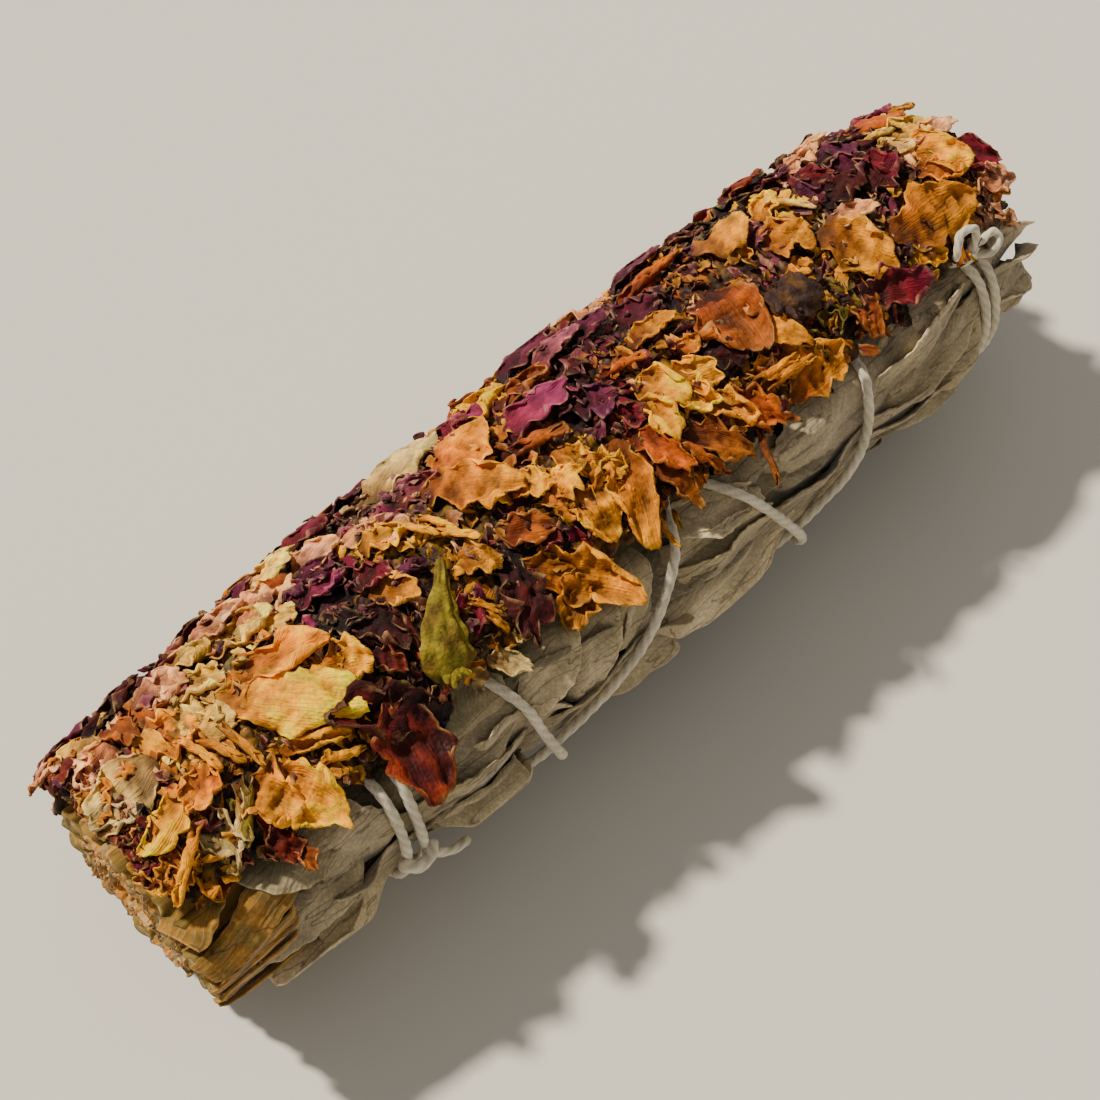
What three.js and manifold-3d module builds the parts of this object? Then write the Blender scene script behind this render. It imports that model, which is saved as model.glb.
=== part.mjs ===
// A dried bundle of white sage with rose petals laid over its upper side, bound with one cotton string.
// Millimetres, +Z up. The bundle lies along X with its cut stems at -X. The origin is on the surface that
// it rests on, under the middle of the bundle. A place on the bundle is given by x, by turn, the degrees
// round the bundle from its top towards -Y, and by its radius from the centre line.
import * as THREE from "three";
import { mergeVertices } from "three/addons/utils/BufferGeometryUtils.js";
import Module from "manifold-3d";

const wasm = await Module();
wasm.setup();

// Driving dimensions
const HALF_LENGTH = 90; // cut stems to leaf tips is twice this
const MIDDLE_RADIUS = 22.9; // reach of the leaves where the string presses them, at mid-length
const END_RADIUS = 19.6; // the same at both ends
const BULGE = 1.5; // how much further the leaves swell between the string's turns
const AXIS_HEIGHT = 25.4; // centre line above the surface
const MIDDLE = { x: -0.6, y: 0.6 }; // of the finished bundle's box, where the origin lies
const UNDER_PETALS = 3.3; // how much further in the leaves lie under the petals
const PETALS_FROM = -106; // turn where the petals begin, on the +Y side
const PETALS_TO = 42; // turn where they end, on the -Y side
const GAP = 0.35; // clear space between separate pieces

const LEAF_THICKNESS = 0.8;
const PETAL_THICKNESS = 0.8;
const STRING_RADIUS = 0.85;

// The sage is six folds of leaves round the centre line, each with its own stems.
const FOLDS = 6;
const FOLD_TURN = 360 / FOLDS;
const FIRST_FOLD = 52; // turn of the first fold's middle at the cut end
const TWIST = 0.12; // degrees that the folds turn for each millimetre along X
const LEAF_LEVELS = [0.5, 1.65]; // how far in from the leaves' reach the upper and the lower leaves lie
const CORE_BACK = 2.8; // the same of the folded mass under them
const STEM_SIZE = 4.6; // across the flats: sage stems are square
const PAST_CUT = 2; // how far past the cut ends the leaves leave the stems room
// Each fold's stems, as the turn from the fold's middle and how far in they lie
const STEMS = [
  [[-20, 0], [1, 0.4], [21, 0.1], [8, 7.5]],
  [[-20, 0.3], [0, 0], [20, 0.6], [-6, 7]],
  [[-15, 0.2], [14, 0], [0, 7.5]],
  [[-14, 0], [16, 0.3], [2, 7]],
  [[-15, 0.4], [15, 0]],
  [[-16, 0], [14, 0.2]],
];

const SAGE = { color: 0x9a9a82, roughness: 0.95, metalness: 0 };
const STEM = { color: 0x8c7440, roughness: 0.85, metalness: 0 };
const COTTON = { color: 0xe4ddca, roughness: 0.9, metalness: 0 };
const TONES = {
  amber: 0xb8721f,
  gold: 0xd9a63a,
  cream: 0xdcc795,
  terracotta: 0xa8552e,
  blush: 0xc98a78,
  crimson: 0x6d2130,
  purple: 0x64304a,
  dark: 0x33191d,
  green: 0x7f7a35,
};

// Places on the bundle

const radians = THREE.MathUtils.degToRad;
const degrees = THREE.MathUtils.radToDeg;
const smooth = THREE.MathUtils.smoothstep;

function at(x, turn, radius) {
  const angle = radians(turn);
  const y = -radius * Math.sin(angle) - MIDDLE.y;
  return new THREE.Vector3(x - MIDDLE.x, y, AXIS_HEIGHT + radius * Math.cos(angle));
}

function wrapped(turn) {
  return ((((turn + 180) % 360) + 360) % 360) - 180;
}

// 1 under the petals, 0 where the leaves are bare, with a soft step of 14 degrees at each side.
function underPetals(turn) {
  const t = wrapped(turn);
  return smooth(t, PETALS_FROM - 14, PETALS_FROM) * (1 - smooth(t, PETALS_TO, PETALS_TO + 14));
}

// The reach of the leaves where the string presses them: a barrel that draws in at its ends, and more at
// the leaf tips.
function pressedReach(x, turn) {
  const along = Math.min(1, Math.abs(x) / HALF_LENGTH);
  const barrel = END_RADIUS + (MIDDLE_RADIUS - END_RADIUS) * (1 - along ** 3);
  const tips = 2.5 * smooth(x, 76, 92);
  return barrel - UNDER_PETALS * underPetals(turn) - tips;
}

// How far a place lies from the nearest strand of the string
function awayFromString(x, turn) {
  let nearest = Infinity;
  for (const strand of stringTrack()) {
    const round = wrapped(turn - strand.turn) * MM_PER_DEGREE;
    nearest = Math.min(nearest, (x - strand.x) ** 2 + round ** 2);
  }
  return Math.sqrt(nearest);
}

function leafReach(x, turn) {
  const free = smooth(awayFromString(x, turn), 2, 12) * (1 - underPetals(turn));
  return pressedReach(x, turn) + BULGE * free;
}

// A seeded draw between -1 and 1
function draws(seed) {
  let state = seed * 7919 + 17;
  return () => {
    state = (state * 16807) % 2147483647;
    return (state / 2147483647) * 2 - 1;
  };
}

// Solids

function solidOf(points, triangles) {
  const vertProperties = new Float32Array(points.flatMap((p) => p.toArray()));
  const triVerts = new Uint32Array(triangles.flat());
  return new wasm.Manifold(new wasm.Mesh({ numProp: 3, vertProperties, triVerts }));
}

function solidOfGeometry(geometry) {
  const bare = new THREE.BufferGeometry().setAttribute("position", geometry.getAttribute("position"));
  if (geometry.index) bare.setIndex(geometry.index);
  const merged = mergeVertices(bare, 1e-4);
  return new wasm.Manifold(
    new wasm.Mesh({
      numProp: 3,
      vertProperties: merged.getAttribute("position").array,
      triVerts: new Uint32Array(merged.index.array),
    }),
  );
}

function geometryOf(solid) {
  const mesh = solid.getMesh();
  const positions = new Float32Array(mesh.numVert * 3);
  for (let i = 0; i < mesh.numVert; i++) {
    positions.set(mesh.vertProperties.subarray(i * mesh.numProp, i * mesh.numProp + 3), i * 3);
  }
  return new THREE.BufferGeometry()
    .setAttribute("position", new THREE.BufferAttribute(positions, 3))
    .setIndex(new THREE.BufferAttribute(new Uint32Array(mesh.triVerts), 1));
}

function joined(solids) {
  return wasm.Manifold.union(solids);
}

// The biggest body of a solid, without the loose scraps that a cut can leave
function mainBody(solid) {
  return solid.decompose().sort((a, b) => b.volume() - a.volume())[0];
}

// A closed body between rings of equally many points, each ring the next section along the piece.
function loft(rings) {
  const n = rings[0].length;
  const triangles = [];
  for (let i = 0; i + 1 < rings.length; i++) {
    for (let j = 0; j < n; j++) {
      const k = (j + 1) % n;
      triangles.push([i * n + j, i * n + k, (i + 1) * n + k]);
      triangles.push([i * n + j, (i + 1) * n + k, (i + 1) * n + j]);
    }
  }
  const last = (rings.length - 1) * n;
  for (let j = 1; j + 1 < n; j++) {
    triangles.push([0, j + 1, j]);
    triangles.push([last, last + j, last + j + 1]);
  }
  return solidOf(rings.flat(), triangles);
}

// A blade of even thickness along the radius, pressed flat where it would reach below the surface. Its
// faces are the same outside and inside, and rim lists the spots round its edge in the faces' own direction.
function blade(spots, faces, rim, thickness) {
  const n = spots.length;
  const outside = spots.map((s) => at(s.x, s.turn, s.radius + thickness / 2));
  const inside = spots.map((s) => at(s.x, s.turn, s.radius - thickness / 2));
  for (const point of outside) point.z = Math.max(point.z, 0);
  for (const point of inside) point.z = Math.max(point.z, thickness);
  const triangles = [];
  for (const [a, b, c] of faces) triangles.push([a, b, c], [n + c, n + b, n + a]);
  rim.forEach((a, i) => {
    const b = rim[(i + 1) % rim.length];
    triangles.push([b, a, n + a], [b, n + a, n + b]);
  });
  return solidOf([...outside, ...inside], triangles);
}

// A blade on a grid: rows run across it, from its base to its tip.
function gridBlade(rows, thickness) {
  const across = rows[0].length;
  const faces = [];
  for (let i = 0; i + 1 < rows.length; i++) {
    for (let j = 0; j + 1 < across; j++) {
      const p = i * across + j;
      faces.push([p, p + 1, p + across + 1], [p, p + across + 1, p + across]);
    }
  }
  const last = (rows.length - 1) * across;
  const rim = [];
  for (let j = 0; j + 1 < across; j++) rim.push(j);
  for (let i = 0; i + 1 < rows.length; i++) rim.push(i * across + across - 1);
  for (let j = across - 1; j > 0; j--) rim.push(last + j);
  for (let i = rows.length - 1; i > 0; i--) rim.push(i * across);
  return blade(rows.flat(), faces, rim, thickness);
}

// A spot that lies s along a heading and w across it from x and turn
function offset(x, turn, heading, s, w) {
  const c = Math.cos(radians(heading));
  const n = Math.sin(radians(heading));
  const arc = pressedReach(x, turn) + 2;
  return { x: x + s * c - w * n, turn: turn + degrees((s * n + w * c) / arc) };
}

// Sage

function foldMiddle(fold, x) {
  return FIRST_FOLD + FOLD_TURN * fold + TWIST * (x + HALF_LENGTH);
}

// Where the stems show at the cut end, the leaves begin further along.
function bareStems(x, turn) {
  const t = wrapped(turn);
  return (1 - smooth(x, -77, -69)) * smooth(t, 24, 34) * (1 - smooth(t, 128, 140));
}

// A square stem through three sections, from the cut end to where it ends deep in the leaves. With grow it
// is the room that the leaves leave round it, open past the cut end.
function stem(fold, [offsetTurn, deeper], grow) {
  const draw = draws(fold * 31 + Math.round(offsetTurn) + 60);
  const start = -HALF_LENGTH + 0.8 * draw() - (grow > 0 ? PAST_CUT : 0);
  const end = -30 + 8 * draw() + grow;
  const lean = 30 + 25 * draw();
  const base = FIRST_FOLD + FOLD_TURN * fold + offsetTurn;
  const rings = [start, -66, end].map((x, i) => {
    const turn = base + TWIST * (x + HALF_LENGTH);
    const radius = pressedReach(-HALF_LENGTH, base) - 2.6 - deeper - i;
    const corner = (STEM_SIZE / 2 - 0.4 * i + grow) * Math.SQRT2;
    return [0, 1, 2, 3].map((k) => {
      const angle = radians(k * 90 + lean);
      const across = degrees((corner * Math.sin(angle)) / radius);
      return at(x, turn + across, radius + corner * Math.cos(angle));
    });
  });
  return loft(rings);
}

// The folded mass of one fold: a wedge from the centre line out to just under its outer leaves.
function foldCore(fold) {
  const steps = [-85 + 1.8 * Math.sin(fold * 2.3), -76, -68, -50, -30, -10, 12, 34, 56, 72, 83];
  const spread = [-1, -0.5, 0, 0.5, 1];
  const rings = steps.map((x) => {
    const middle = foldMiddle(fold, x);
    const ring = spread.map((u) => {
      const turn = middle + (u * FOLD_TURN) / 2;
      const crease = 0.3 * Math.sin(x * 0.21 + turn * 0.12);
      const bare = (pressedReach(x, turn) - 5.6) * bareStems(x, turn);
      const full = (leafReach(x, turn) - CORE_BACK + crease) * (1 - bareStems(x, turn));
      const radius = bare + full - 3.5 * smooth(x, 74, 84);
      const clear = degrees(Math.asin((0.8 * GAP) / radius)) * Math.sign(u);
      return at(x, turn - clear, radius);
    });
    ring.push(at(x, middle, 1.2));
    return ring;
  });
  return loft(rings);
}

// One leaf: its base sunk in the core, its edges waved. Level 0 lies over level 1. The leaves of every
// other fold reach a little over their neighbours, whose leaves keep clear of them.
function leaf(fold, { x, turn, heading, length, width, seed, level = 0 }) {
  const draw = draws(seed);
  const wave = 0.25 + 0.1 * draw();
  const phase = 3 * draw();
  const bow = 0.03 * length * draw();
  const within = fold % 2 || level;
  const steps = length > 30 ? [0, 0.18, 0.46, 0.78, 1] : [0, 0.25, 0.7, 1];
  const rows = steps.map((s) => {
    const full = Math.sin(Math.PI * Math.min(1, 0.12 + 0.88 * s)) ** 0.6;
    const half = (width / 2) * Math.max(0.22, full);
    const edge = FOLD_TURN / 2 + (within || s < 0.3 ? -6.5 : 4);
    return [-1, 0, 1].map((u) => {
      const spot = offset(x, turn, heading, (s - 0.5) * length, u * half + bow * Math.sin(Math.PI * s));
      const middle = foldMiddle(fold, spot.x);
      spot.turn = THREE.MathUtils.clamp(spot.turn, middle - edge, middle + edge);
      const sunk = (CORE_BACK + 0.5 - LEAF_LEVELS[level]) * (1 - smooth(s, 0.02, 0.3));
      const ripple = wave * Math.sin(s * 7 + phase + u * 1.4) * Math.abs(u);
      const outer = leafReach(spot.x, spot.turn) - LEAF_LEVELS[level] - sunk + ripple;
      spot.radius = outer - LEAF_THICKNESS / 2;
      return spot;
    });
  });
  return gridBlade(rows, LEAF_THICKNESS);
}

// The leaves that the bundle rests on, pressed flat: x of their middle and their length
const RESTING_LEAVES = [
  { x: -25, length: 15 },
  { x: 1, length: 28 },
  { x: 54, length: 26 },
];
const UNDER_FOLD = 2;
const RESTING_WIDTH = 15;

function restingLeaf({ x, length }) {
  const rows = [0, 0.28, 0.64, 1].map((s) =>
    [-1, 0, 1].map((u) => {
      const half = (RESTING_WIDTH / 2) * (s < 1 ? 1 : 0.5);
      const spot = offset(x, 180, 0, (s - 0.5) * length, u * half);
      const root = leafReach(spot.x, spot.turn) - CORE_BACK - 1;
      spot.radius = THREE.MathUtils.lerp(root, AXIS_HEIGHT + 1.2, smooth(s, 0, 0.28));
      return spot;
    }),
  );
  return gridBlade(rows, LEAF_THICKNESS);
}

// The leaves that show beside the petals: place, heading, length and width of each, from the cut end on.
const SHOWN_LEAVES = [
  { x: -64, turn: 50, heading: 172, length: 27, width: 14 },
  { x: -63, turn: 69, heading: 165, length: 24, width: 11, level: 1 },
  { x: -48, turn: 63, heading: -6, length: 26, width: 17, level: 1 },
  { x: -38, turn: 79, heading: 16, length: 24, width: 9 },
  { x: -19, turn: 56, heading: -14, length: 34, width: 10 },
  { x: -16, turn: 76, heading: -10, length: 36, width: 11, level: 1 },
  { x: 7, turn: 66, heading: -32, length: 22, width: 6 },
  { x: 9, turn: 86, heading: 6, length: 40, width: 9 },
  { x: 41, turn: 64, heading: -4, length: 56, width: 20 },
  { x: 68, turn: 58, heading: -14, length: 36, width: 12, level: 1 },
  { x: 70, turn: 84, heading: 4, length: 40, width: 12 },
];
const LEAVES_IN_FOLD = [0, 5, 5, 5, 4, 4];

function foldLeaves(fold) {
  if (fold === 0) return SHOWN_LEAVES.map((one, i) => leaf(fold, { ...one, seed: i + 1 }));
  const draw = draws(200 + fold);
  const made = fold === UNDER_FOLD ? RESTING_LEAVES.map(restingLeaf) : [];
  const spacing = 140 / LEAVES_IN_FOLD[fold];
  for (let i = 0; i < LEAVES_IN_FOLD[fold]; i++) {
    const level = i % 2;
    const x = -52 + i * spacing + 3 * draw();
    const turn = foldMiddle(fold, x) + (level ? 9 : -9) + 3 * draw();
    const one = { x, turn, heading: 6 * draw(), length: 1.6 * spacing + 5 * draw(), width: 18 + 2 * draw() };
    made.push(leaf(fold, { ...one, seed: fold * 20 + i, level }));
  }
  return made;
}

// The leaf tips that stand out of the far end: turn from the fold's middle, radius and how far they reach
const END_TIPS = [
  [[-8, 15.5, 90], [4, 9.5, 88]],
  [[8, 15, 88.5]],
  [[-6, 15, 90], [2, 10, 87.5]],
  [[8, 15.5, 88]],
  [[-4, 11.5, 89]],
  [[4, 11, 90]],
];

function endTip(fold, [offsetTurn, radius, reach], i) {
  const middle = foldMiddle(fold, HALF_LENGTH) + offsetTurn;
  const rows = [74, 81, reach].map((x, k) =>
    [-1, 0, 1].map((u) => {
      const half = [3.6, 3.4, 0.9][k];
      const curl = 0.7 * u * (k - 0.5) * (i % 2 ? 1 : -1);
      return { x, turn: middle + degrees((u * half) / radius), radius: radius + curl - 0.8 * Math.abs(u) };
    }),
  );
  return gridBlade(rows, LEAF_THICKNESS);
}

// String

// The string's route as x and turn, turn counted on through its eight turns: one round the leaf tips, down
// the bundle, one and a half round the stems, and back up over the first strand to the knot.
const ROUTE = [
  [73.3, 46],
  [74, 72],
  [73.4, 120],
  [73.6, 226],
  [75, 330],
  [76.3, 406],
  [76.7, 430],
  [75.6, 480],
  [69, 570],
  [58, 670],
  [51, 728],
  [47.5, 757],
  [44.5, 780],
  [42.5, 797],
  [38, 815],
  [29, 825],
  [23, 845],
  [18, 900],
  [13, 985],
  [9, 1070],
  [6, 1116],
  [3, 1130],
  [-3, 1148],
  [-9, 1163],
  [-18, 1177],
  [-28, 1187],
  [-33, 1210],
  [-37, 1290],
  [-44, 1380],
  [-52, 1470],
  [-54, 1500],
  [-54.3, 1560],
  [-55.4, 1700],
  [-57, 1855],
  [-57.4, 1930],
  [-52, 2040],
  [-40, 2150],
  [-35, 2203],
  [-31.8, 2225],
  [-30, 2248],
  [-27, 2270],
  [-18, 2340],
  [-6, 2430],
  [5, 2510],
  [10.8, 2558],
  [17, 2581],
  [23, 2607],
  [26.5, 2624],
  [33, 2680],
  [46, 2760],
  [60, 2840],
  [68, 2890],
  [71, 2924],
];
const RETURN_FROM = 1930; // turn where the string starts back over its first strand
const CROSSINGS = [
  { x: -42, turn: -70 },
  { x: -28.5, turn: 103 },
  { x: 7.5, turn: 12 },
  { x: 26.5, turn: 103 },
  { x: 56, turn: -69 },
];
// A strand stays lifted up to the first of these distances from a crossing and is down past the second
const CROSSING_SLOPE = [3, 11];
const MM_PER_DEGREE = 0.42; // round the bundle, for distances between strands

// How far a strand is lifted where it passes over another
function crossingLift(x, turn, total) {
  if (total < RETURN_FROM) return 0;
  let lift = 0;
  for (const crossing of CROSSINGS) {
    const apart = Math.hypot(x - crossing.x, wrapped(turn - crossing.turn) * MM_PER_DEGREE);
    lift = Math.max(lift, (2 * STRING_RADIUS + GAP) * (1 - smooth(apart, ...CROSSING_SLOPE)));
  }
  return lift;
}

const ABOVE_SURFACE = 0.2; // clear space under the string where it passes under the bundle

// A place of the string's centre
function stringPlace(x, total) {
  const turn = wrapped(total);
  const place = at(x, turn, pressedReach(x, turn) + STRING_RADIUS + GAP + crossingLift(x, turn, total));
  place.z = Math.max(place.z, STRING_RADIUS + ABOVE_SURFACE);
  return place;
}

const TRACK_POINTS = 340;
let track;

// The string's route unrolled, as evenly spaced places
function stringTrack() {
  if (track) return track;
  const flat = new THREE.CatmullRomCurve3(
    ROUTE.map(([x, turn]) => new THREE.Vector3(x, turn * MM_PER_DEGREE, 0)),
    false,
    "centripetal",
  );
  track = flat.getSpacedPoints(TRACK_POINTS).map((p) => ({ x: p.x, turn: p.y / MM_PER_DEGREE }));
  return track;
}

function stringCurve() {
  const places = stringTrack().map(({ x, turn }) => stringPlace(x, turn));
  return new THREE.CatmullRomCurve3(places, false, "centripetal");
}

function tube(curve, radius, sides, steps) {
  const section = new THREE.Shape();
  for (let k = 0; k < sides; k++) {
    const angle = (2 * Math.PI * k) / sides;
    const point = [radius * Math.cos(angle), radius * Math.sin(angle)];
    if (k) section.lineTo(...point);
    else section.moveTo(...point);
  }
  section.closePath();
  return solidOfGeometry(
    new THREE.ExtrudeGeometry(section, { steps, bevelEnabled: false, extrudePath: curve }),
  );
}

const STRING_STEPS = 130; // sections along the wound string

function wound(grow, sides) {
  return tube(stringCurve(), STRING_RADIUS + grow, sides, STRING_STEPS);
}

// A short strand through places given as x, turn and height above the leaves' reach
function strand(points, grow, steps) {
  const places = points.map(([x, turn, height]) => at(x, turn, pressedReach(x, turn) + height));
  const curve = new THREE.CatmullRomCurve3(places, false, "centripetal");
  return tube(curve, STRING_RADIUS + grow, 5, steps);
}

// The two loops of the bow at the leaf tips, its knot, and the knot and the short tail by the stems
const BOW = [
  [[73.6, 46, 1.4], [71.2, 43, 4], [71, 39, 6], [72.8, 34, 7], [75.8, 36, 7], [75.6, 42, 5], [74.6, 45, 3]],
  [[74.8, 46, 3], [77, 43, 5.2], [79.8, 43, 6], [80.2, 47, 5.2], [77.6, 49.5, 3.6], [75.6, 47.5, 2.6]],
];
const BOW_KNOT = [[71, 43, 2], [73, 45.5, 3.2], [75.2, 46.5, 3], [76.4, 43.5, 1.6]];
const STEM_KNOT = [[-59.2, 88, 1.4], [-57.4, 91, 3], [-55, 92, 3], [-52.8, 90, 1.4]];
const STEM_TAIL = [[-55, 91, 1.8], [-52.6, 96, 3.2], [-50.4, 99, 3.8], [-47.8, 100, 3.8]];
const KNOT_THICKER = 0.25; // how much wider a knot's strand is than the string

function cottonString(grow, sides) {
  const knots = [
    ...BOW.map((points) => strand(points, grow, 8)),
    strand(BOW_KNOT, grow + KNOT_THICKER, 4),
    strand(STEM_KNOT, grow + KNOT_THICKER, 4),
    strand(STEM_TAIL, grow, 5),
  ];
  return joined([wound(grow, sides), ...knots]);
}

// Petals

// Each petal: x and turn of its middle, the heading of its tip, length, width, tilt in degrees, tone.
// A heading of 0 points along +X and one of 90 points down the -Y side.
const PETALS = [
  // the cut end
  [-88, -50, 20, 9, 7, 8, "blush"],
  [-84, -25, 150, 9, 7, 8, "blush"],
  [-83.5, -5, 8, 14, 9, 2, "cream"],
  [-74, -15, 20, 9, 7, 12, "blush"],
  [-82, 13, 168, 12, 5, 16, "gold"],
  [-82, 30, 145, 15, 5, 12, "amber"],
  [-70, 28, 60, 9, 8, 10, "terracotta"],
  [-66, 32, 60, 10, 10, 14, "amber"],
  [-73, -50, 0, 13, 5, 10, "crimson"],
  [-82, -62, 10, 12, 6, 8, "purple"],
  // beside the cut end
  [-58.5, 7, 40, 21, 10, 10, "gold"],
  [-57, -8, 21, 18, 6, 14, "terracotta"],
  [-60, 24, 20, 10, 6, 12, "gold"],
  [-49.5, 30, 214, 20, 7, 22, "dark"],
  [-50, 44, 110, 14, 11, 6, "terracotta"],
  [-42, 9, 60, 9, 8, 12, "crimson"],
  [-44, -18, 10, 9, 6, 14, "crimson"],
  [-62, -58, 0, 13, 6, 10, "crimson"],
  [-37, 4, 40, 9, 6, 14, "cream"],
  [-56, -30, 15, 12, 7, 12, "cream"],
  [-46, -42, 20, 11, 7, 12, "blush"],
  [-38, -52, 10, 11, 6, 12, "crimson"],
  // towards the middle
  [-26, -8, 60, 8, 6, 22, "cream"],
  [-31, -20, 10, 8, 7, 14, "blush"],
  [-28, 28, 70, 7, 5, 18, "amber"],
  [-24, 30, 120, 13, 6, 12, "crimson"],
  [-17, -12, 40, 14, 7, 16, "amber"],
  [-16.5, 14, 30, 9, 6, 16, "terracotta"],
  [-13, -27, -20, 9, 7, 16, "terracotta"],
  [-19, -50, 5, 14, 8, 4, "cream"],
  [-14.5, 38, 40, 19, 8, 8, "amber"],
  [-6.5, 25, 90, 9, 8, 12, "gold"],
  [0, 28, 120, 16, 8, 14, "amber"],
  [-5, -8, 20, 11, 5, 18, "terracotta"],
  [-1, -18, 5, 15, 6, 14, "purple"],
  [-5, -45, 0, 13, 8, 14, "gold"],
  // past the middle
  [11, -37, -5, 13, 7, 16, "crimson"],
  [9, -54, 0, 13, 7, 14, "purple"],
  [6, 2, 20, 11, 8, 18, "purple"],
  [15, 8, 60, 10, 9, 22, "gold"],
  [21, 14, 30, 10, 8, 22, "cream"],
  [10, 26, 60, 13, 7, 14, "amber"],
  [18, 31, 50, 13, 6, 14, "amber"],
  [22, -14, 10, 10, 6, 16, "amber"],
  [32, 4, 100, 14, 13, 18, "terracotta"],
  [36, 17, 60, 11, 5, 20, "gold"],
  [31, 29, 5, 11, 6, 18, "amber"],
  [37.5, 37, -10, 13, 7, 12, "amber"],
  [22, 47, 120, 9, 4, 8, "amber"],
  [31, -37, 0, 15, 5, 16, "amber"],
  [33, -51, 10, 13, 8, 16, "purple"],
  // towards the leaf tips
  [44, -28, 10, 12, 10, 16, "cream"],
  [46, -60, 20, 10, 7, 16, "dark"],
  [50, -8, 20, 9, 8, 16, "amber"],
  [50, 33, 100, 8, 6, 10, "terracotta"],
  [58, 33, 20, 13, 7, 14, "crimson"],
  [57, 13, 60, 12, 10, 14, "amber"],
  [55, -26, 80, 11, 6, 18, "gold"],
  [62, -38, 30, 11, 8, 16, "purple"],
  [64, -12, 10, 12, 7, 16, "crimson"],
  [58, -55, 10, 10, 7, 16, "terracotta"],
  [72, -20, 30, 11, 8, 16, "crimson"],
  [70, -5, -10, 11, 8, 16, "purple"],
  [71, -50, 10, 12, 8, 16, "blush"],
  [72, 21, 5, 18, 9, 10, "amber"],
  [81, -35, 20, 13, 9, 20, "terracotta"],
  [83, -18, 10, 10, 7, 20, "cream"],
  [83, 4, 30, 12, 9, 18, "gold"],
  [87, 16, 40, 10, 7, 16, "crimson"],
  [86, -52, 10, 10, 8, 14, "purple"],
];

// The far side, down to PETALS_FROM, is laid in the same tones by rule.
const FAR_TONES = ["crimson", "amber", "purple", "blush", "crimson", "terracotta", "gold", "dark"];
const FAR_TILT = 22; // degrees that these petals stand up from the bed

function farPetals() {
  const draw = draws(77);
  const rows = [];
  for (let i = 0; i < 14; i++) {
    const x = -81 + i * 12.4 + 2 * draw();
    const turn = (i % 2 ? -76 : -92) + 3 * draw();
    const heading = 260 + 60 * draw();
    const tone = FAR_TONES[i % FAR_TONES.length];
    rows.push([x, turn, heading, 14 + 2 * draw(), 11 + 2 * draw(), FAR_TILT, tone]);
  }
  return rows;
}

// Height above the leaves' reach of the bed of crushed petals, clear of the string under it
const BED_HEIGHT = 2 * STRING_RADIUS + 2 * GAP + 0.4;
const BED_THICKNESS = 1.0;

const BASE_SUNK = 1.5; // how deep a petal's base lies in the bed
const LEAST_RISE = 0.6; // height of a flat petal above the bed's underside
const ROUND_AREA = 90; // a petal of more than this length times width has eight corners, not six

// A petal as a fan round its middle, ragged, cupped and crumpled, with its base sunk in the bed
function petal([x, turn, heading, length, width, tilt], seed, grow) {
  const draw = draws(seed);
  const corners = length * width > ROUND_AREA ? 8 : 6;
  const rise = Math.tan(radians(tilt));
  const cup = 0.7 + 0.5 * draw();
  const heightAt = (s, rough) => {
    const sunk = BASE_SUNK * (1 - smooth(s, -0.5 * length, -0.25 * length));
    return LEAST_RISE + rise * (s + length / 2) * 0.62 + rough - sunk;
  };
  const spots = [{ ...offset(x, turn, heading, 0, 0), height: heightAt(0, -cup * 0.6) }];
  for (let k = 0; k < corners; k++) {
    const angle = (-2 * Math.PI * k) / corners;
    const ragged = 1 + 0.1 * draw();
    const s = 0.5 * length * Math.cos(angle) * ragged;
    const w = 0.5 * width * Math.sin(angle) * (0.92 + 0.28 * Math.cos(angle)) * ragged;
    const further = 1 + (2.6 * grow) / length;
    const wider = 1 + (2.6 * grow) / width;
    const rough = cup * 0.4 + (k % 2 ? 0.45 : -0.45) + 0.3 * draw();
    spots.push({ ...offset(x, turn, heading, s * further, w * wider), height: heightAt(s, rough) });
  }
  for (const spot of spots) {
    const floor = pressedReach(spot.x, spot.turn) + BED_HEIGHT;
    spot.radius = floor + Math.max(0.1, spot.height) + PETAL_THICKNESS / 2;
  }
  const faces = spots.slice(1).map((_, k) => [0, 1 + k, 1 + ((k + 1) % corners)]);
  const rim = spots.slice(1).map((_, k) => 1 + k);
  return blade(spots, faces, rim, PETAL_THICKNESS + 2 * grow);
}

function petalBase([x, turn, heading, length]) {
  return offset(x, turn, heading, -0.42 * length, 0);
}

// The petals lie in patches, staggered from row to row. Each patch is a bed of crushed petals with the
// larger ones standing out of it.
const PATCH_COLUMNS = 5;
const PATCH_ROWS = [
  { from: PETALS_FROM, to: -32, shift: 7 },
  { from: -32, to: PETALS_TO, shift: -5 },
];
const PATCH_FROM = -88;
const PATCH_TO = 88;

function columnEdge(row, column) {
  const edge = PATCH_FROM + ((PATCH_TO - PATCH_FROM) * column) / PATCH_COLUMNS;
  const inner = column > 0 && column < PATCH_COLUMNS;
  return inner ? edge + PATCH_ROWS[row].shift : edge;
}

function patchOf(one) {
  const base = petalBase(one);
  const row = base.turn < PATCH_ROWS[0].to ? 0 : 1;
  let column = 0;
  while (column < PATCH_COLUMNS - 1 && base.x > columnEdge(row, column + 1)) column++;
  return row * PATCH_COLUMNS + column;
}

const BED_INSET = 0.5 * GAP + 0.15; // from a patch's border to the rim of its bed

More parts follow.
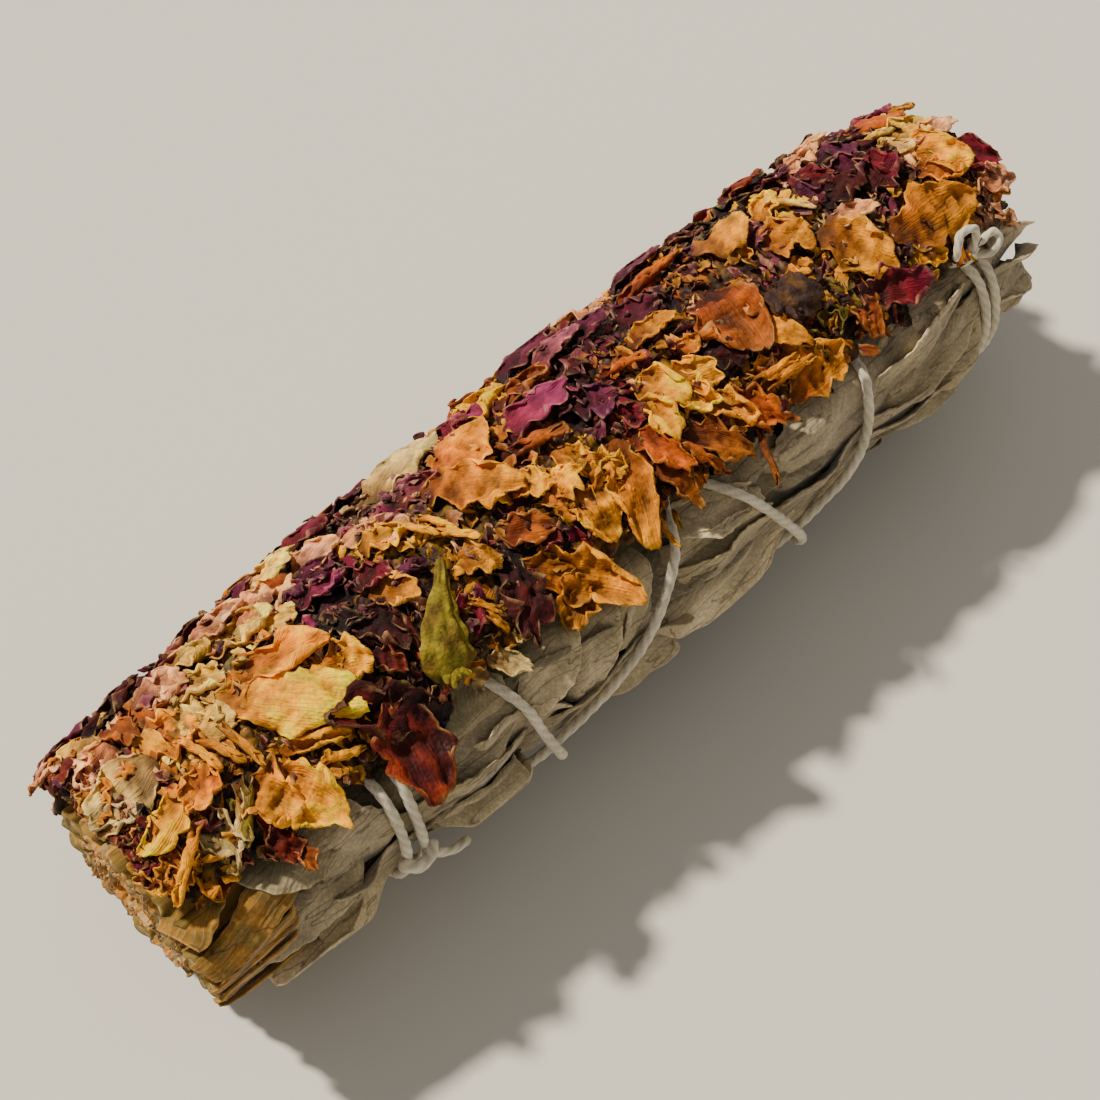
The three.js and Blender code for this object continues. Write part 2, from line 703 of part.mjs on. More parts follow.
// A patch's bed: a lumpy sheet whose rim wanders, the same way on both sides of a border
function bed(row, column, grow) {
  const { from, to } = PATCH_ROWS[row];
  const draw = draws(row * 50 + column + 5);
  const alongs = [0, 0.5, 1];
  const acrosses = [0, 0.33, 0.67, 1];
  const inset = BED_INSET - grow;
  const turnInset = degrees(inset / MIDDLE_RADIUS);
  const rows = alongs.map((u, i) =>
    acrosses.map((v, j) => {
      const wander = (side) => 1.4 * Math.sin(j * 2.3 + row + side * 2.1);
      const x0 = columnEdge(row, column) + inset + wander(column);
      const x1 = columnEdge(row, column + 1) - inset + wander(column + 1);
      const x = THREE.MathUtils.lerp(x0, x1, u);
      const shared = j === (row === 0 ? acrosses.length - 1 : 0);
      const sway = shared ? 3 * Math.sin(x * 0.16) : 0;
      const turn = THREE.MathUtils.lerp(from + turnInset, to - turnInset, v) + sway;
      const inside = i > 0 && i < alongs.length - 1 && j > 0 && j < acrosses.length - 1;
      const lump = inside ? 0.5 + 0.4 * draw() : 0.1;
      const radius = pressedReach(x, turn) + BED_HEIGHT + BED_THICKNESS / 2 + lump;
      return { x, turn, radius };
    }),
  );
  return gridBlade(rows, BED_THICKNESS + 2 * grow);
}

// The tone that most of a patch's petal area has
function mainTone(petals) {
  const area = {};
  for (const [, , , length, width, , tone] of petals) area[tone] = (area[tone] || 0) + length * width;
  return Object.keys(area).sort((a, b) => area[b] - area[a])[0];
}

// Calyxes of the rosebuds, which lie on the petals: x, turn, height above the bed and half width
const GREEN_CALYX = [
  [-37.5, 35, 1.0, 1.2],
  [-36.8, 29, 1.9, 3.2],
  [-35.2, 21, 2.4, 3.6],
  [-32.6, 13, 2.3, 2.3],
  [-29.8, 6, 2.4, 1.4],
  [-27.6, 0, 3.0, 0.7],
];
const DARK_CALYX = [
  [38, 6, 1.6, 1.0],
  [40, 10, 2.2, 3.0],
  [43.5, 14, 2.6, 3.4],
  [46.5, 17, 1.8, 1.5],
];

function calyx(points, grow) {
  const sides = 6;
  const centres = points.map(([x, turn, height]) =>
    at(x, turn, pressedReach(x, turn) + BED_HEIGHT + BED_THICKNESS + height),
  );
  const rings = points.map(([x, turn, , half], i) => {
    const before = centres[Math.max(0, i - 1)];
    const after = centres[Math.min(points.length - 1, i + 1)];
    const along = after.clone().sub(before).normalize();
    const out = at(x, turn, 1).sub(at(x, turn, 0));
    const side = out.clone().cross(along).normalize();
    const end = i === 0 ? -grow : i === points.length - 1 ? grow : 0;
    return Array.from({ length: sides }, (_, k) => {
      const angle = (2 * Math.PI * k) / sides;
      const w = (half + grow) * Math.cos(angle);
      const h = (0.55 * half + 0.4 + grow) * Math.sin(angle);
      const centre = centres[i].clone().addScaledVector(along, end);
      return centre.addScaledVector(side, w).addScaledVector(out, h);
    });
  });
  return loft(rings);
}

// Assembly

const bundle = new THREE.Group();

function petalLook(tone) {
  return { color: TONES[tone], roughness: 0.75, metalness: 0 };
}

function add(name, solid, look) {
  const mesh = new THREE.Mesh(geometryOf(solid), new THREE.MeshStandardMaterial(look));
  mesh.name = name;
  bundle.add(mesh);
}

const stringRoom = cottonString(GAP, 5);
const stems = STEMS.flatMap((places, fold) => places.map((place) => [fold, place]));

stems.forEach(([fold, place], i) => add(`sage_stem_${i + 1}`, stem(fold, place, 0), STEM));

const stemRoom = joined(stems.map(([fold, place]) => stem(fold, place, GAP)));
for (let fold = 0; fold < FOLDS; fold++) {
  const tips = END_TIPS[fold].map((tip, i) => endTip(fold, tip, i));
  const mass = joined([foldCore(fold), ...foldLeaves(fold), ...tips]);
  add(`sage_leaves_${fold + 1}`, mainBody(mass.subtract(stemRoom).subtract(stringRoom)), SAGE);
}

add("cotton_string", mainBody(cottonString(0, 5)), COTTON);
add("green_calyx", calyx(GREEN_CALYX, 0), petalLook("green"));
add("dark_calyx", calyx(DARK_CALYX, 0), petalLook("dark"));

const allPetals = [...PETALS, ...farPetals()];
let taken = joined([stringRoom, calyx(GREEN_CALYX, GAP), calyx(DARK_CALYX, GAP)]);
for (let row = 0; row < PATCH_ROWS.length; row++) {
  for (let column = 0; column < PATCH_COLUMNS; column++) {
    const patch = row * PATCH_COLUMNS + column;
    const own = allPetals.map((one, i) => [one, i]).filter(([one]) => patchOf(one) === patch);
    const made = joined([bed(row, column, 0), ...own.map(([one, i]) => petal(one, 300 + i, 0))]);
    const tone = mainTone(own.map(([one]) => one));
    add(`rose_petals_${patch + 1}`, mainBody(made.subtract(taken)), petalLook(tone));
    taken = joined([taken, bed(row, column, GAP), ...own.map(([one, i]) => petal(one, 300 + i, GAP))]);
  }
}

export default bundle;
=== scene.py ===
"""A dried bundle of white sage under a bed of rose petals, bound with one cotton string.

Lengths are in millimetres until a mesh is written, which turns them into metres. The bundle lies along X
with its cut stems at -X, and its origin is on the surface that it rests on. A place on it is given by x,
by turn, the degrees round the bundle from its top towards -Y, and by its radius from the centre line.
"""

import bpy
import numpy as np
from bpy.props import FloatProperty, FloatVectorProperty, PointerProperty
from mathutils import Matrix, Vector


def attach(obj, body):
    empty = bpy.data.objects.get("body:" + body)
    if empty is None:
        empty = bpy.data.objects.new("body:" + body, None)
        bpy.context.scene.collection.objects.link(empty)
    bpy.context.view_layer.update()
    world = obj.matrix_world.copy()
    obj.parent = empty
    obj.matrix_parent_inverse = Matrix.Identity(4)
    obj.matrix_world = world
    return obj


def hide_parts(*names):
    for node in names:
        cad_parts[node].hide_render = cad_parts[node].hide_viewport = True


bl_info = {
    "name": "Sage bundle with rose petals",
    "version": (1, 0, 0),
    "blender": (4, 5, 0),
    "location": "3D View > Sidebar > Sage bundle",
    "description": "Makes a bound bundle of dried white sage leaves and rose petals",
    "category": "Add Mesh",
}

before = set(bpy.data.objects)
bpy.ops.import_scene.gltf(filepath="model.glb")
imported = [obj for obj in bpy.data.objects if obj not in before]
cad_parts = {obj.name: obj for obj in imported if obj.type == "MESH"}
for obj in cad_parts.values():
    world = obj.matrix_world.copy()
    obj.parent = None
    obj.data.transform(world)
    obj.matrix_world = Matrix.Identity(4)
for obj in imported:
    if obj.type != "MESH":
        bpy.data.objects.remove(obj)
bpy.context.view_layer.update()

MM = 0.001
BODY = "root"

# The bundle's form: its leaves' reach from the centre line, and how much less it is under the petals
HALF_LENGTH = 90.0
MIDDLE_RADIUS = 22.9
END_RADIUS = 19.6
UNDER_PETALS = 3.3
TIPS_DRAW_IN = 2.5
TIPS_DRAW_IN_FROM = 76.0
TIPS_DRAW_IN_TO = 92.0
# How far the leaves bulge out between the string's turns, and how near a strand that begins and ends
BULGE = 1.5
BULGE_FROM = 2.0
BULGE_TO = 12.0
# The centre line's height, and what is taken off x and y to bring the origin under the middle
AXIS_HEIGHT = 25.4
MIDDLE_X = -0.6
MIDDLE_Y = 0.6
# Degrees round the bundle between which the petals lie, and over which the leaves slope up beside them
PETALS_FROM = -106.0
PETALS_TO = 42.0
PETALS_MARGIN = 14.0
# The string, and the gap between a strand and what it lies on
STRING_RADIUS = 0.85
GAP = 0.35
# The leaves lie in folds side by side round the bundle, which turn a little along it, in degrees a mm
FOLDS = 6
FOLD_TURN = 360 / FOLDS
FIRST_FOLD = 52.0
TWIST = 0.12
# The folded mass inside each fold: its ends, how far in it lies from the leaves' reach, and from their
# pressed reach over the stems, the share of the fold that it fills, and its points along and across
CORE_FROM = -85.0
CORE_TO = 83.5
CORE_BACK = 2.8
CORE_UNDER_STEMS = 5.6
CORE_SHARE = 0.985
CORE_GRID = (120, 27)
STEM_SIZE = 4.6
# The bed of crushed petals lies over the string: how high above the pressed leaves, and how thick
BED_HEIGHT = 2 * STRING_RADIUS + 2 * GAP + 0.4
BED_THICKNESS = 1.0
# The leaves' middle surfaces lie no lower than this
LOWEST_LEAF = 0.35

TONES = {
    "amber": "#C08208",
    "bronze": "#865014",
    "gold": "#E0A00E",
    "yellow": "#FCBC04",
    "cream": "#E8C070",
    "tan": "#C48A3C",
    "peach": "#DC8E3A",
    "terracotta": "#8C5028",
    "orange": "#A65A12",
    "rust": "#66280C",
    "blush": "#E2A882",
    "magenta": "#7C3450",
    "mauve": "#864C58",
    "crimson": "#5E1A28",
    "maroon": "#380C0C",
    "plum": "#4A1A2C",
    "purple": "#502238",
    "olive": "#6E6026",
    "sage": "#C8B47C",
    "dark": "#22100C",
}


def linear(code):
    """A colour code such as #C27A24 as linear red, green and blue"""
    parts = np.array([int(code[k : k + 2], 16) for k in (1, 3, 5)]) / 255
    return tuple(np.where(parts <= 0.04045, parts / 12.92, ((parts + 0.055) / 1.055) ** 2.4))


def shade_property(name, description, code):
    """A colour that the user may change"""
    return FloatVectorProperty(
        name=name, description=description, subtype="COLOR", size=3, min=0, max=1, default=linear(code)
    )


def length_property(name, description, millimetres):
    """A length that the user may change, kept in metres"""
    return FloatProperty(name=name, description=description, unit="LENGTH", min=0, default=millimetres * MM)


class PetalSettings(bpy.types.PropertyGroup):
    """The rose petals' thickness and tones"""

    __annotations__ = {
        "thickness": length_property("Thickness", "Thickness of a dried petal", 0.3),
        **{tone: shade_property(tone.title(), f"Colour of the {tone} petals", TONES[tone]) for tone in TONES},
    }


class SageSettings(bpy.types.PropertyGroup):
    """The sage leaves' thickness and colours"""

    thickness: length_property("Thickness", "Thickness of a dried leaf", 0.55)
    pale: shade_property("Pale", "Colour of the leaves' pale faces", "#BFAC88")
    grey: shade_property("Grey", "Colour of the leaves' grey faces", "#887A66")
    green: shade_property("Green", "Colour of the leaves' greener faces", "#94865A")
    # The inside colour is painted shade: the near black of the folded mass that shows between the leaves
    inside: shade_property("Inside", "Colour deep between the leaves", "#2A2014")
    stem: shade_property("Stem", "Colour of the stems' bark", "#86682C")
    pith: shade_property("Pith", "Colour of the stems' cut ends", "#BCA468")


class StringSettings(bpy.types.PropertyGroup):
    """The cotton string's ply and colour"""

    pitch: length_property("Pitch", "Length of one turn of the ply", 7.0)
    cotton: shade_property("Cotton", "Colour of the string", "#E8DEC4")


class CalyxSettings(bpy.types.PropertyGroup):
    """The two rosebud cups' colours"""

    green: shade_property("Green", "Colour of the green cup", "#80701E")
    dark: shade_property("Dark", "Colour of the shrivelled cup", "#3C2A26")


class StageSettings(bpy.types.PropertyGroup):
    """The floor and the light"""

    floor: shade_property("Floor", "Colour of the floor", "#D8D3C8")
    key: FloatProperty(name="Key light", description="Strength of the sun", min=0, default=5.4)
    fill: FloatProperty(name="Fill light", description="Strength of the light all round", min=0, default=0.38)


# Places on the bundle


def smooth(value, low, high):
    """0 below low and 1 above high, with a soft step between them"""
    u = np.clip((value - low) / (high - low), 0, 1)
    return u * u * (3 - 2 * u)


def wrapped(turn):
    """The same turn between -180 and 180"""
    return (turn + 180) % 360 - 180


def place(x, turn, radius):
    """Points as rows of x, y and z from their x, turn and radius"""
    angle = np.radians(turn)
    y = -radius * np.sin(angle) - MIDDLE_Y
    z = AXIS_HEIGHT + radius * np.cos(angle)
    return np.stack(np.broadcast_arrays(x - MIDDLE_X, y, z), axis=-1)


def outward(turn):
    """The direction away from the centre line at a turn"""
    angle = np.radians(turn)
    return np.stack([np.zeros_like(angle), -np.sin(angle), np.cos(angle)], axis=-1)


def under_petals(turn):
    """1 under the petals, 0 where the leaves are bare"""
    t = wrapped(turn)
    begun = smooth(t, PETALS_FROM - PETALS_MARGIN, PETALS_FROM)
    return begun * (1 - smooth(t, PETALS_TO, PETALS_TO + PETALS_MARGIN))


def pressed_reach(x, turn):
    """The leaves' reach under the string: a barrel that draws in at both ends and more at the tips"""
    along = np.minimum(1, np.abs(x) / HALF_LENGTH)
    barrel = END_RADIUS + (MIDDLE_RADIUS - END_RADIUS) * (1 - along**3)
    drawn_in = TIPS_DRAW_IN * smooth(x, TIPS_DRAW_IN_FROM, TIPS_DRAW_IN_TO)
    return barrel - UNDER_PETALS * under_petals(turn) - drawn_in


# The string's route as x and turn, turn counted on through its turns: round the leaf tips, down the
# bundle, one and a half times round the stems, and back up over the first strand to the knot.
ROUTE = np.array(
    [
        [73.3, 46], [74, 72], [73.4, 120], [73.6, 226], [75, 330], [76.3, 406], [76.7, 430], [75.6, 480],
        [69, 570], [58, 670], [51, 728], [47.5, 757], [44.5, 780], [42.5, 797], [38, 815], [29, 825],
        [23, 845], [18, 900], [13, 985], [9, 1070], [6, 1116], [3, 1130], [-3, 1148], [-9, 1163],
        [-18, 1177], [-28, 1187], [-33, 1210], [-37, 1290], [-44, 1380], [-52, 1470], [-54, 1500],
        [-54.3, 1560], [-55.4, 1700], [-57, 1855], [-57.4, 1930], [-52, 2040], [-40, 2150], [-35, 2203],
        [-31.8, 2225], [-30, 2248], [-27, 2270], [-18, 2340], [-6, 2430], [5, 2510], [10.8, 2558],
        [17, 2581], [23, 2607], [26.5, 2624], [33, 2680], [46, 2760], [60, 2840], [68, 2890], [71, 2924],
    ]
)  # fmt: skip
# The turn from which the string runs back over its first strand, and where it crosses that
RETURN_FROM = 1930
CROSSINGS = [(-42, -70), (-28.5, 103), (7.5, 12), (26.5, 103), (56, -69)]
# A degree round the bundle's outside, as a length
MM_PER_DEGREE = 0.42
TRACK_SPACING = 0.6
CURVE_SAMPLES = 24
# The grid of the map of distances from the string: its reach in x, and its steps in turn
MAP_REACH = 100
MAP_TURN_STEP = 2
# Where the stems are bare of leaves: the turns and the x over which the leaves give way to them
BARE_FROM_TURN = (24, 34)
BARE_TO_TURN = (128, 140)
BARE_TO_X = (-77, -69)


def spline(points, spacing):
    """Evenly spaced points of a smooth curve through the given ones: a centripetal Catmull-Rom curve,
    whose cubic between two points meets each with a slope worked out from its neighbours' distances"""
    ends = [2 * points[0] - points[1]], [2 * points[-1] - points[-2]]
    p = np.concatenate([ends[0], points, ends[1]])
    step = np.linalg.norm(np.diff(p, axis=0), axis=1) ** 0.5
    d0, d1, d2 = step[:-2, None], step[1:-1, None], step[2:, None]
    p0, p1, p2, p3 = p[:-3], p[1:-2], p[2:-1], p[3:]
    m1 = ((p1 - p0) / d0 - (p2 - p0) / (d0 + d1) + (p2 - p1) / d1) * d1
    m2 = ((p2 - p1) / d1 - (p3 - p1) / (d1 + d2) + (p3 - p2) / d2) * d1
    t = np.linspace(0, 1, CURVE_SAMPLES, endpoint=False)[None, :, None]
    a, b, m, n = p1[:, None], p2[:, None], m1[:, None], m2[:, None]
    curve = a + m * t + (3 * (b - a) - 2 * m - n) * t**2 + (2 * (a - b) + m + n) * t**3
    curve = np.concatenate([curve.reshape(-1, p.shape[1]), points[-1:]])
    run = np.concatenate([[0], np.cumsum(np.linalg.norm(np.diff(curve, axis=0), axis=1))])
    even = np.linspace(0, run[-1], max(3, int(round(run[-1] / spacing))))
    return np.stack([np.interp(even, run, column) for column in curve.T], axis=1)


TRACK = spline(ROUTE * [1, MM_PER_DEGREE], TRACK_SPACING) / [1, MM_PER_DEGREE]


def string_distance_map():
    """How far each place of a grid of x and turn lies from the nearest strand of the string"""
    places = np.arange(-MAP_REACH, MAP_REACH + 1, 1.0)
    turns = np.arange(-180, 181, float(MAP_TURN_STEP))
    x, turn = np.meshgrid(places, turns, indexing="ij")
    nearest = np.full(x.shape, np.inf)
    for string_x, string_turn in TRACK[::4]:
        round_about = wrapped(turn - string_turn) * MM_PER_DEGREE
        np.minimum(nearest, (x - string_x) ** 2 + round_about**2, out=nearest)
    return np.sqrt(nearest)


STRING_DISTANCE = string_distance_map()


def away_from_string(x, turn):
    """The distance map read between its grid's places"""
    i = np.clip(x + MAP_REACH, 0, 2 * MAP_REACH - 0.001)
    j = (wrapped(turn) + 180) / MAP_TURN_STEP % (360 / MAP_TURN_STEP)
    a, b = i.astype(int), j.astype(int)
    f, g = i - a, j - b
    low = STRING_DISTANCE[a, b] * (1 - g) + STRING_DISTANCE[a, b + 1] * g
    high = STRING_DISTANCE[a + 1, b] * (1 - g) + STRING_DISTANCE[a + 1, b + 1] * g
    return low * (1 - f) + high * f


def leaf_reach(x, turn):
    """The leaves' reach, with what they bulge between the string's turns where no petals press on them"""
    free = smooth(away_from_string(x, turn), BULGE_FROM, BULGE_TO) * (1 - under_petals(turn))
    return pressed_reach(x, turn) + BULGE * free


def fold_middle(fold, x):
    """The turn of a fold's middle at an x"""
    return FIRST_FOLD + FOLD_TURN * fold + TWIST * (x + HALF_LENGTH)


def bare_stems(x, turn):
    """1 at the cut end where the stems show, because the leaves begin further along"""
    t = wrapped(turn)
    return (1 - smooth(x, *BARE_TO_X)) * smooth(t, *BARE_FROM_TURN) * (1 - smooth(t, *BARE_TO_TURN))


def offset(x, turn, heading, s, w):
    """The x and turn of a spot that lies s along a heading and w across it"""
    c, n = np.cos(np.radians(heading)), np.sin(np.radians(heading))
    arc = pressed_reach(x, turn) + 2
    return x + s * c - w * n, turn + np.degrees((s * n + w * c) / arc)


# Surfaces


class Surfaces:
    """What one piece is made of, gathered as whole arrays and written as one mesh at the end. Each point
    has a tint, and a flow, which is its place along and across its own part."""

    def __init__(self):
        self.points = []
        self.quads = []
        self.triangles = []
        self.tints = []
        self.flows = []
        self.count = 0

    def add(self, points, quads, triangles, tint, flow):
        number = len(points)
        self.points.append(points)
        self.quads.append(np.asarray(quads, dtype=np.int64).reshape(-1, 4) + self.count)
        self.triangles.append(np.asarray(triangles, dtype=np.int64).reshape(-1, 3) + self.count)
        self.tints.append(np.broadcast_to(tint, (number, 3)))
        self.flows.append(np.broadcast_to(flow, (number, 3)))
        self.count += number

    def write(self, name, material, node):
        """One smooth mesh in metres, which is shown in place of the given node"""
        points = np.concatenate(self.points)
        quads, triangles = np.concatenate(self.quads), np.concatenate(self.triangles)
        mesh = bpy.data.meshes.new(name)
        mesh.vertices.add(len(points))
        mesh.vertices.foreach_set("co", (points * MM).astype(np.float32).ravel())
        corners = np.concatenate([quads.ravel(), triangles.ravel()])
        starts = np.arange(len(quads)) * 4, len(quads) * 4 + np.arange(len(triangles)) * 3
        mesh.loops.add(len(corners))
        mesh.loops.foreach_set("vertex_index", corners.astype(np.int32))
        mesh.polygons.add(len(quads) + len(triangles))
        mesh.polygons.foreach_set("loop_start", np.concatenate(starts).astype(np.int32))
        mesh.polygons.foreach_set("use_smooth", np.ones(len(mesh.polygons), dtype=bool))
        mesh.update(calc_edges=True)
        tints = np.concatenate(self.tints)
        colours = np.concatenate([np.clip(tints, 0, 1), np.ones((len(tints), 1))], axis=1)
        layer = mesh.attributes.new("tint", "FLOAT_COLOR", "POINT")
        layer.data.foreach_set("color", colours.astype(np.float32).ravel())
        layer = mesh.attributes.new("flow", "FLOAT_VECTOR", "POINT")
        layer.data.foreach_set("vector", np.concatenate(self.flows).astype(np.float32).ravel())
        mesh.validate()
        piece = bpy.data.objects.new(name, mesh)
        bpy.context.scene.collection.objects.link(piece)
        mesh.materials.append(material)
        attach(piece, BODY)
        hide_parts(node)


def grid_quads(rows, columns):
    """The faces of a grid of points, four corners each"""
    first = (np.arange(rows - 1)[:, None] * columns + np.arange(columns - 1)[None, :]).ravel()
    return np.stack([first, first + columns, first + columns + 1, first + 1], axis=1)


def grid_rim(rows, columns):
    """The places round the edge of a grid, in its faces' own direction"""
    along, across = np.arange(rows - 1), np.arange(columns - 1)
    return np.concatenate(
        [
            along * columns,
            (rows - 1) * columns + across,
            (rows - 1 - along) * columns + columns - 1,
            columns - 1 - across,
        ]
    )


def unit(vectors):
    """Each vector divided by its length"""
    return vectors / np.maximum(np.linalg.norm(vectors, axis=-1, keepdims=True), 1e-9)


def add_shells(piece, middle, thickness, tint, rim, flow):
    """Closed thin shells, one for each grid of points in middle. Their two faces lie half a thickness to
    either side of it along its normal, less where rim nears 1, and a band of faces closes the edge."""
    number, rows, columns = middle.shape[:3]
    normal = unit(np.cross(np.gradient(middle, axis=1), np.gradient(middle, axis=2)))
    half = normal * (0.5 * thickness * (1 - 0.55 * rim))[..., None]
    size = rows * columns
    points = np.stack([middle + half, middle - half], axis=1).reshape(-1, 3)
    top = grid_quads(rows, columns)
    edge = grid_rim(rows, columns)
    following = np.roll(edge, -1)
    band = np.stack([following, edge, edge + size, following + size], axis=1)
    one = np.concatenate([top, top[:, ::-1] + size, band])
    quads = (one[None] + 2 * size * np.arange(number)[:, None, None]).reshape(-1, 4)
    tints = np.stack([tint, tint], axis=1).reshape(-1, 3)
    flows = np.stack([flow, flow], axis=1).reshape(-1, 3)
    piece.add(points, quads, [], tints, flows)


def add_loft(piece, rings, tint, flow, end_bulge=0.0):
    """A closed body through rings of points. A fan of faces round a point in the middle closes each end,
    which stands out by end_bulge."""
    steps, sides = rings.shape[:2]
    first = np.arange(steps - 1)[:, None] * sides
    j = np.arange(sides)[None, :]
    k = (j + 1) % sides
    quads = np.stack([first + j, first + k, first + sides + k, first + sides + j], axis=-1).reshape(-1, 4)
    middles = rings.mean(axis=1)
    out = unit(middles[[0, -1]] - middles[[1, -2]]) * end_bulge
    points = np.concatenate([rings.reshape(-1, 3), middles[[0, -1]] + out])
    start, end = steps * sides, steps * sides + 1
    last = (steps - 1) * sides
    j, k = j[0], k[0]
    first_cap = np.stack([np.full(sides, start), k, j], axis=1)
    last_cap = np.stack([np.full(sides, end), last + j, last + k], axis=1)

    def with_ends(values):
        """The rings' values in one row, and their means at both ends"""
        return np.concatenate([values.reshape(steps * sides, 3), values[[0, -1]].mean(axis=1)])

    piece.add(points, quads, np.concatenate([first_cap, last_cap]), with_ends(tint), with_ends(flow))


def outward_loft(piece, rings, tint, flow, end_bulge=0.0):
    """The same, with the rings' direction turned where they would face inwards"""
    axis = rings[1].mean(axis=0) - rings[0].mean(axis=0)
    arms = rings[0] - rings[0].mean(axis=0)
    facing = np.cross(arms, np.roll(arms, -1, axis=0)).sum(axis=0)
    if np.dot(facing, axis) < 0:
        rings, tint, flow = rings[:, ::-1], tint[:, ::-1], flow[:, ::-1]
    add_loft(piece, rings, tint, flow, end_bulge)


def sheet_grid(number, rows, columns, along=None, across_from=-1):
    """For a number of sheets, each place's share of the way along, 0 to 1, and across, up to 1"""
    along = np.linspace(0, 1, rows) if along is None else np.array(along)
    across = np.linspace(across_from, 1, columns)
    ones = np.ones((number, rows, columns))
    return along[None, :, None] * ones, across[None, None, :] * ones


# Drawn variation


def drawn(rng, number, low=-1.0, high=1.0):
    """One draw for each sheet, shaped to go with its grid"""
    return rng.uniform(low, high, (number, 1, 1))


def waves(rng, number, s, w, size, count=4):
    """Soft unevenness between -1 and 1: sine waves of about the given size in drawn directions"""
    total = 0
    for _ in range(count):
        angle = drawn(rng, number, 0, 2 * np.pi)
        pitch = 2 * np.pi / (size * drawn(rng, number, 0.7, 1.5))
        phase = (s * np.cos(angle) + w * np.sin(angle)) * pitch + drawn(rng, number, 0, 6.3)
        total = total + np.sin(phase)
    return total / count**0.5 / 1.2


def creases(rng, number, s, w, size, octaves=3):
    """Sharp folds between 0 and 1: ridges of waves in drawn directions, each bent by the one before"""
    total, weight, bend = 0, 0, 0
    for octave in range(octaves):
        angle = drawn(rng, number, 0, 2 * np.pi)
        pitch = np.pi / (size * 0.56**octave * drawn(rng, number, 0.75, 1.3))
        phase = (s * np.cos(angle) + w * np.sin(angle)) * pitch + drawn(rng, number, 0, 6.3) + bend
        total = total + (1 - np.abs(np.sin(phase))) * 0.58**octave
        weight += 0.58**octave
        bend = 1.1 * np.sin(0.7 * phase + drawn(rng, number, 0, 6.3))
    return total / weight


def bent(flat, height, slope, axis, anchor):
    """A strip bent along one axis of its grid. Its slope is given at each place, so its run and its rise
    are running sums of the slope's cosine and sine, counted from the anchor's row or column."""
    step = np.diff(flat, axis=axis)
    ahead = np.take(slope, range(1, slope.shape[axis]), axis=axis)
    behind = np.take(slope, range(slope.shape[axis] - 1), axis=axis)
    between = (ahead + behind) / 2
    pad = [(0, 0)] * 3
    pad[axis] = (1, 0)
    run = np.pad(np.cumsum(step * np.cos(between), axis=axis), pad)
    rise = np.pad(np.cumsum(step * np.sin(between), axis=axis), pad)
    run = run - np.take(run, [anchor], axis=axis) + np.take(flat, [anchor], axis=axis)
    rise = rise - np.take(rise, [anchor], axis=axis)
    return run - height * np.sin(slope), rise + height * np.cos(slope)


# Stems

# Each fold's stems, as the turn from the fold's middle and how far in they lie
STEMS = [
    [[-20, 0], [1, 0.4], [21, 0.1], [8, 7.5]],
    [[-20, 0.3], [0, 0], [20, 0.6], [-6, 7]],
    [[-15, 0.2], [14, 0], [0, 7.5]],
    [[-14, 0], [16, 0.3], [2, 7]],
    [[-15, 0.4], [15, 0]],
    [[-16, 0], [14, 0.2]],
]
STEM_SIDES = 40
SQUARENESS = 4.5
# A stem's rings: four that close its cut end, then these along the rest of it
CUT_RINGS = [0, 0, 0, 0.004]
PLAIN_RINGS = 46
# Where the stems bend, and where they end on average, some further and some nearer
STEM_BEND = -66.0
STEM_END = -30.0
STEM_END_SPREAD = 8.0


def repeated_draws(seed):
    """The seeded draws between -1 and 1 that set where each stem begins and ends, and how it is turned"""
    state = seed * 7919 + 17
    while True:
        state = state * 16807 % 2147483647
        yield state / 2147483647 * 2 - 1


def stem_values(first, rest):
    """Values for each of a stem's rings: those given for its cut end, then one value for the rest"""
    return np.array(first + [rest] * (len(CUT_RINGS) + PLAIN_RINGS - len(first)))[:, None]


def stem_rings(fold, offset_turn, deeper, stations):
    """Square sections with rounded corners and fine ribs, carried along the stem's two straight runs. The
    square is a superellipse: one over a root of the sum of the sine's and the cosine's powers."""
    draw = repeated_draws(fold * 31 + offset_turn + 60)
    start = -HALF_LENGTH + 0.8 * next(draw)
    end = STEM_END + STEM_END_SPREAD * next(draw)
    lean = 30 + 25 * next(draw)
    base = FIRST_FOLD + FOLD_TURN * fold + offset_turn
    knots = np.array([start, STEM_BEND, end])
    x = np.interp(stations, [0, 0.35, 1], knots)[:, None]
    third = np.interp(x, knots, [0, 1, 2])
    turn = base + TWIST * (x + HALF_LENGTH)
    radius = pressed_reach(-HALF_LENGTH, base) - 2.6 - deeper - third
    half = STEM_SIZE / 2 - 0.4 * third
    angle = np.linspace(0, 2 * np.pi, STEM_SIDES, endpoint=False)[None, :]
    powers = np.abs(np.cos(angle)) ** SQUARENESS + np.abs(np.sin(angle)) ** SQUARENESS
    square = half * 1.06 / powers ** (1 / SQUARENESS)
    ribs = 0.07 * np.sin(angle * 16 + fold) + 0.05 * np.sin(angle * 9 + x * 0.35)
    knobs = 0.22 * np.sin(x * 0.23 + offset_turn) * np.sin(angle * 2 + 1)
    arm = square + (ribs + knobs) * smooth(x, start, start + 2)
    facing = angle + np.radians(lean + 45)
    across = np.degrees(arm * np.sin(facing) / radius)
    ragged = 0.35 * np.sin(angle * 3 + offset_turn) * (1 - smooth(x, start, start + 1.5))
    return place(x + ragged, turn + across, radius + arm * np.cos(facing)), x, angle


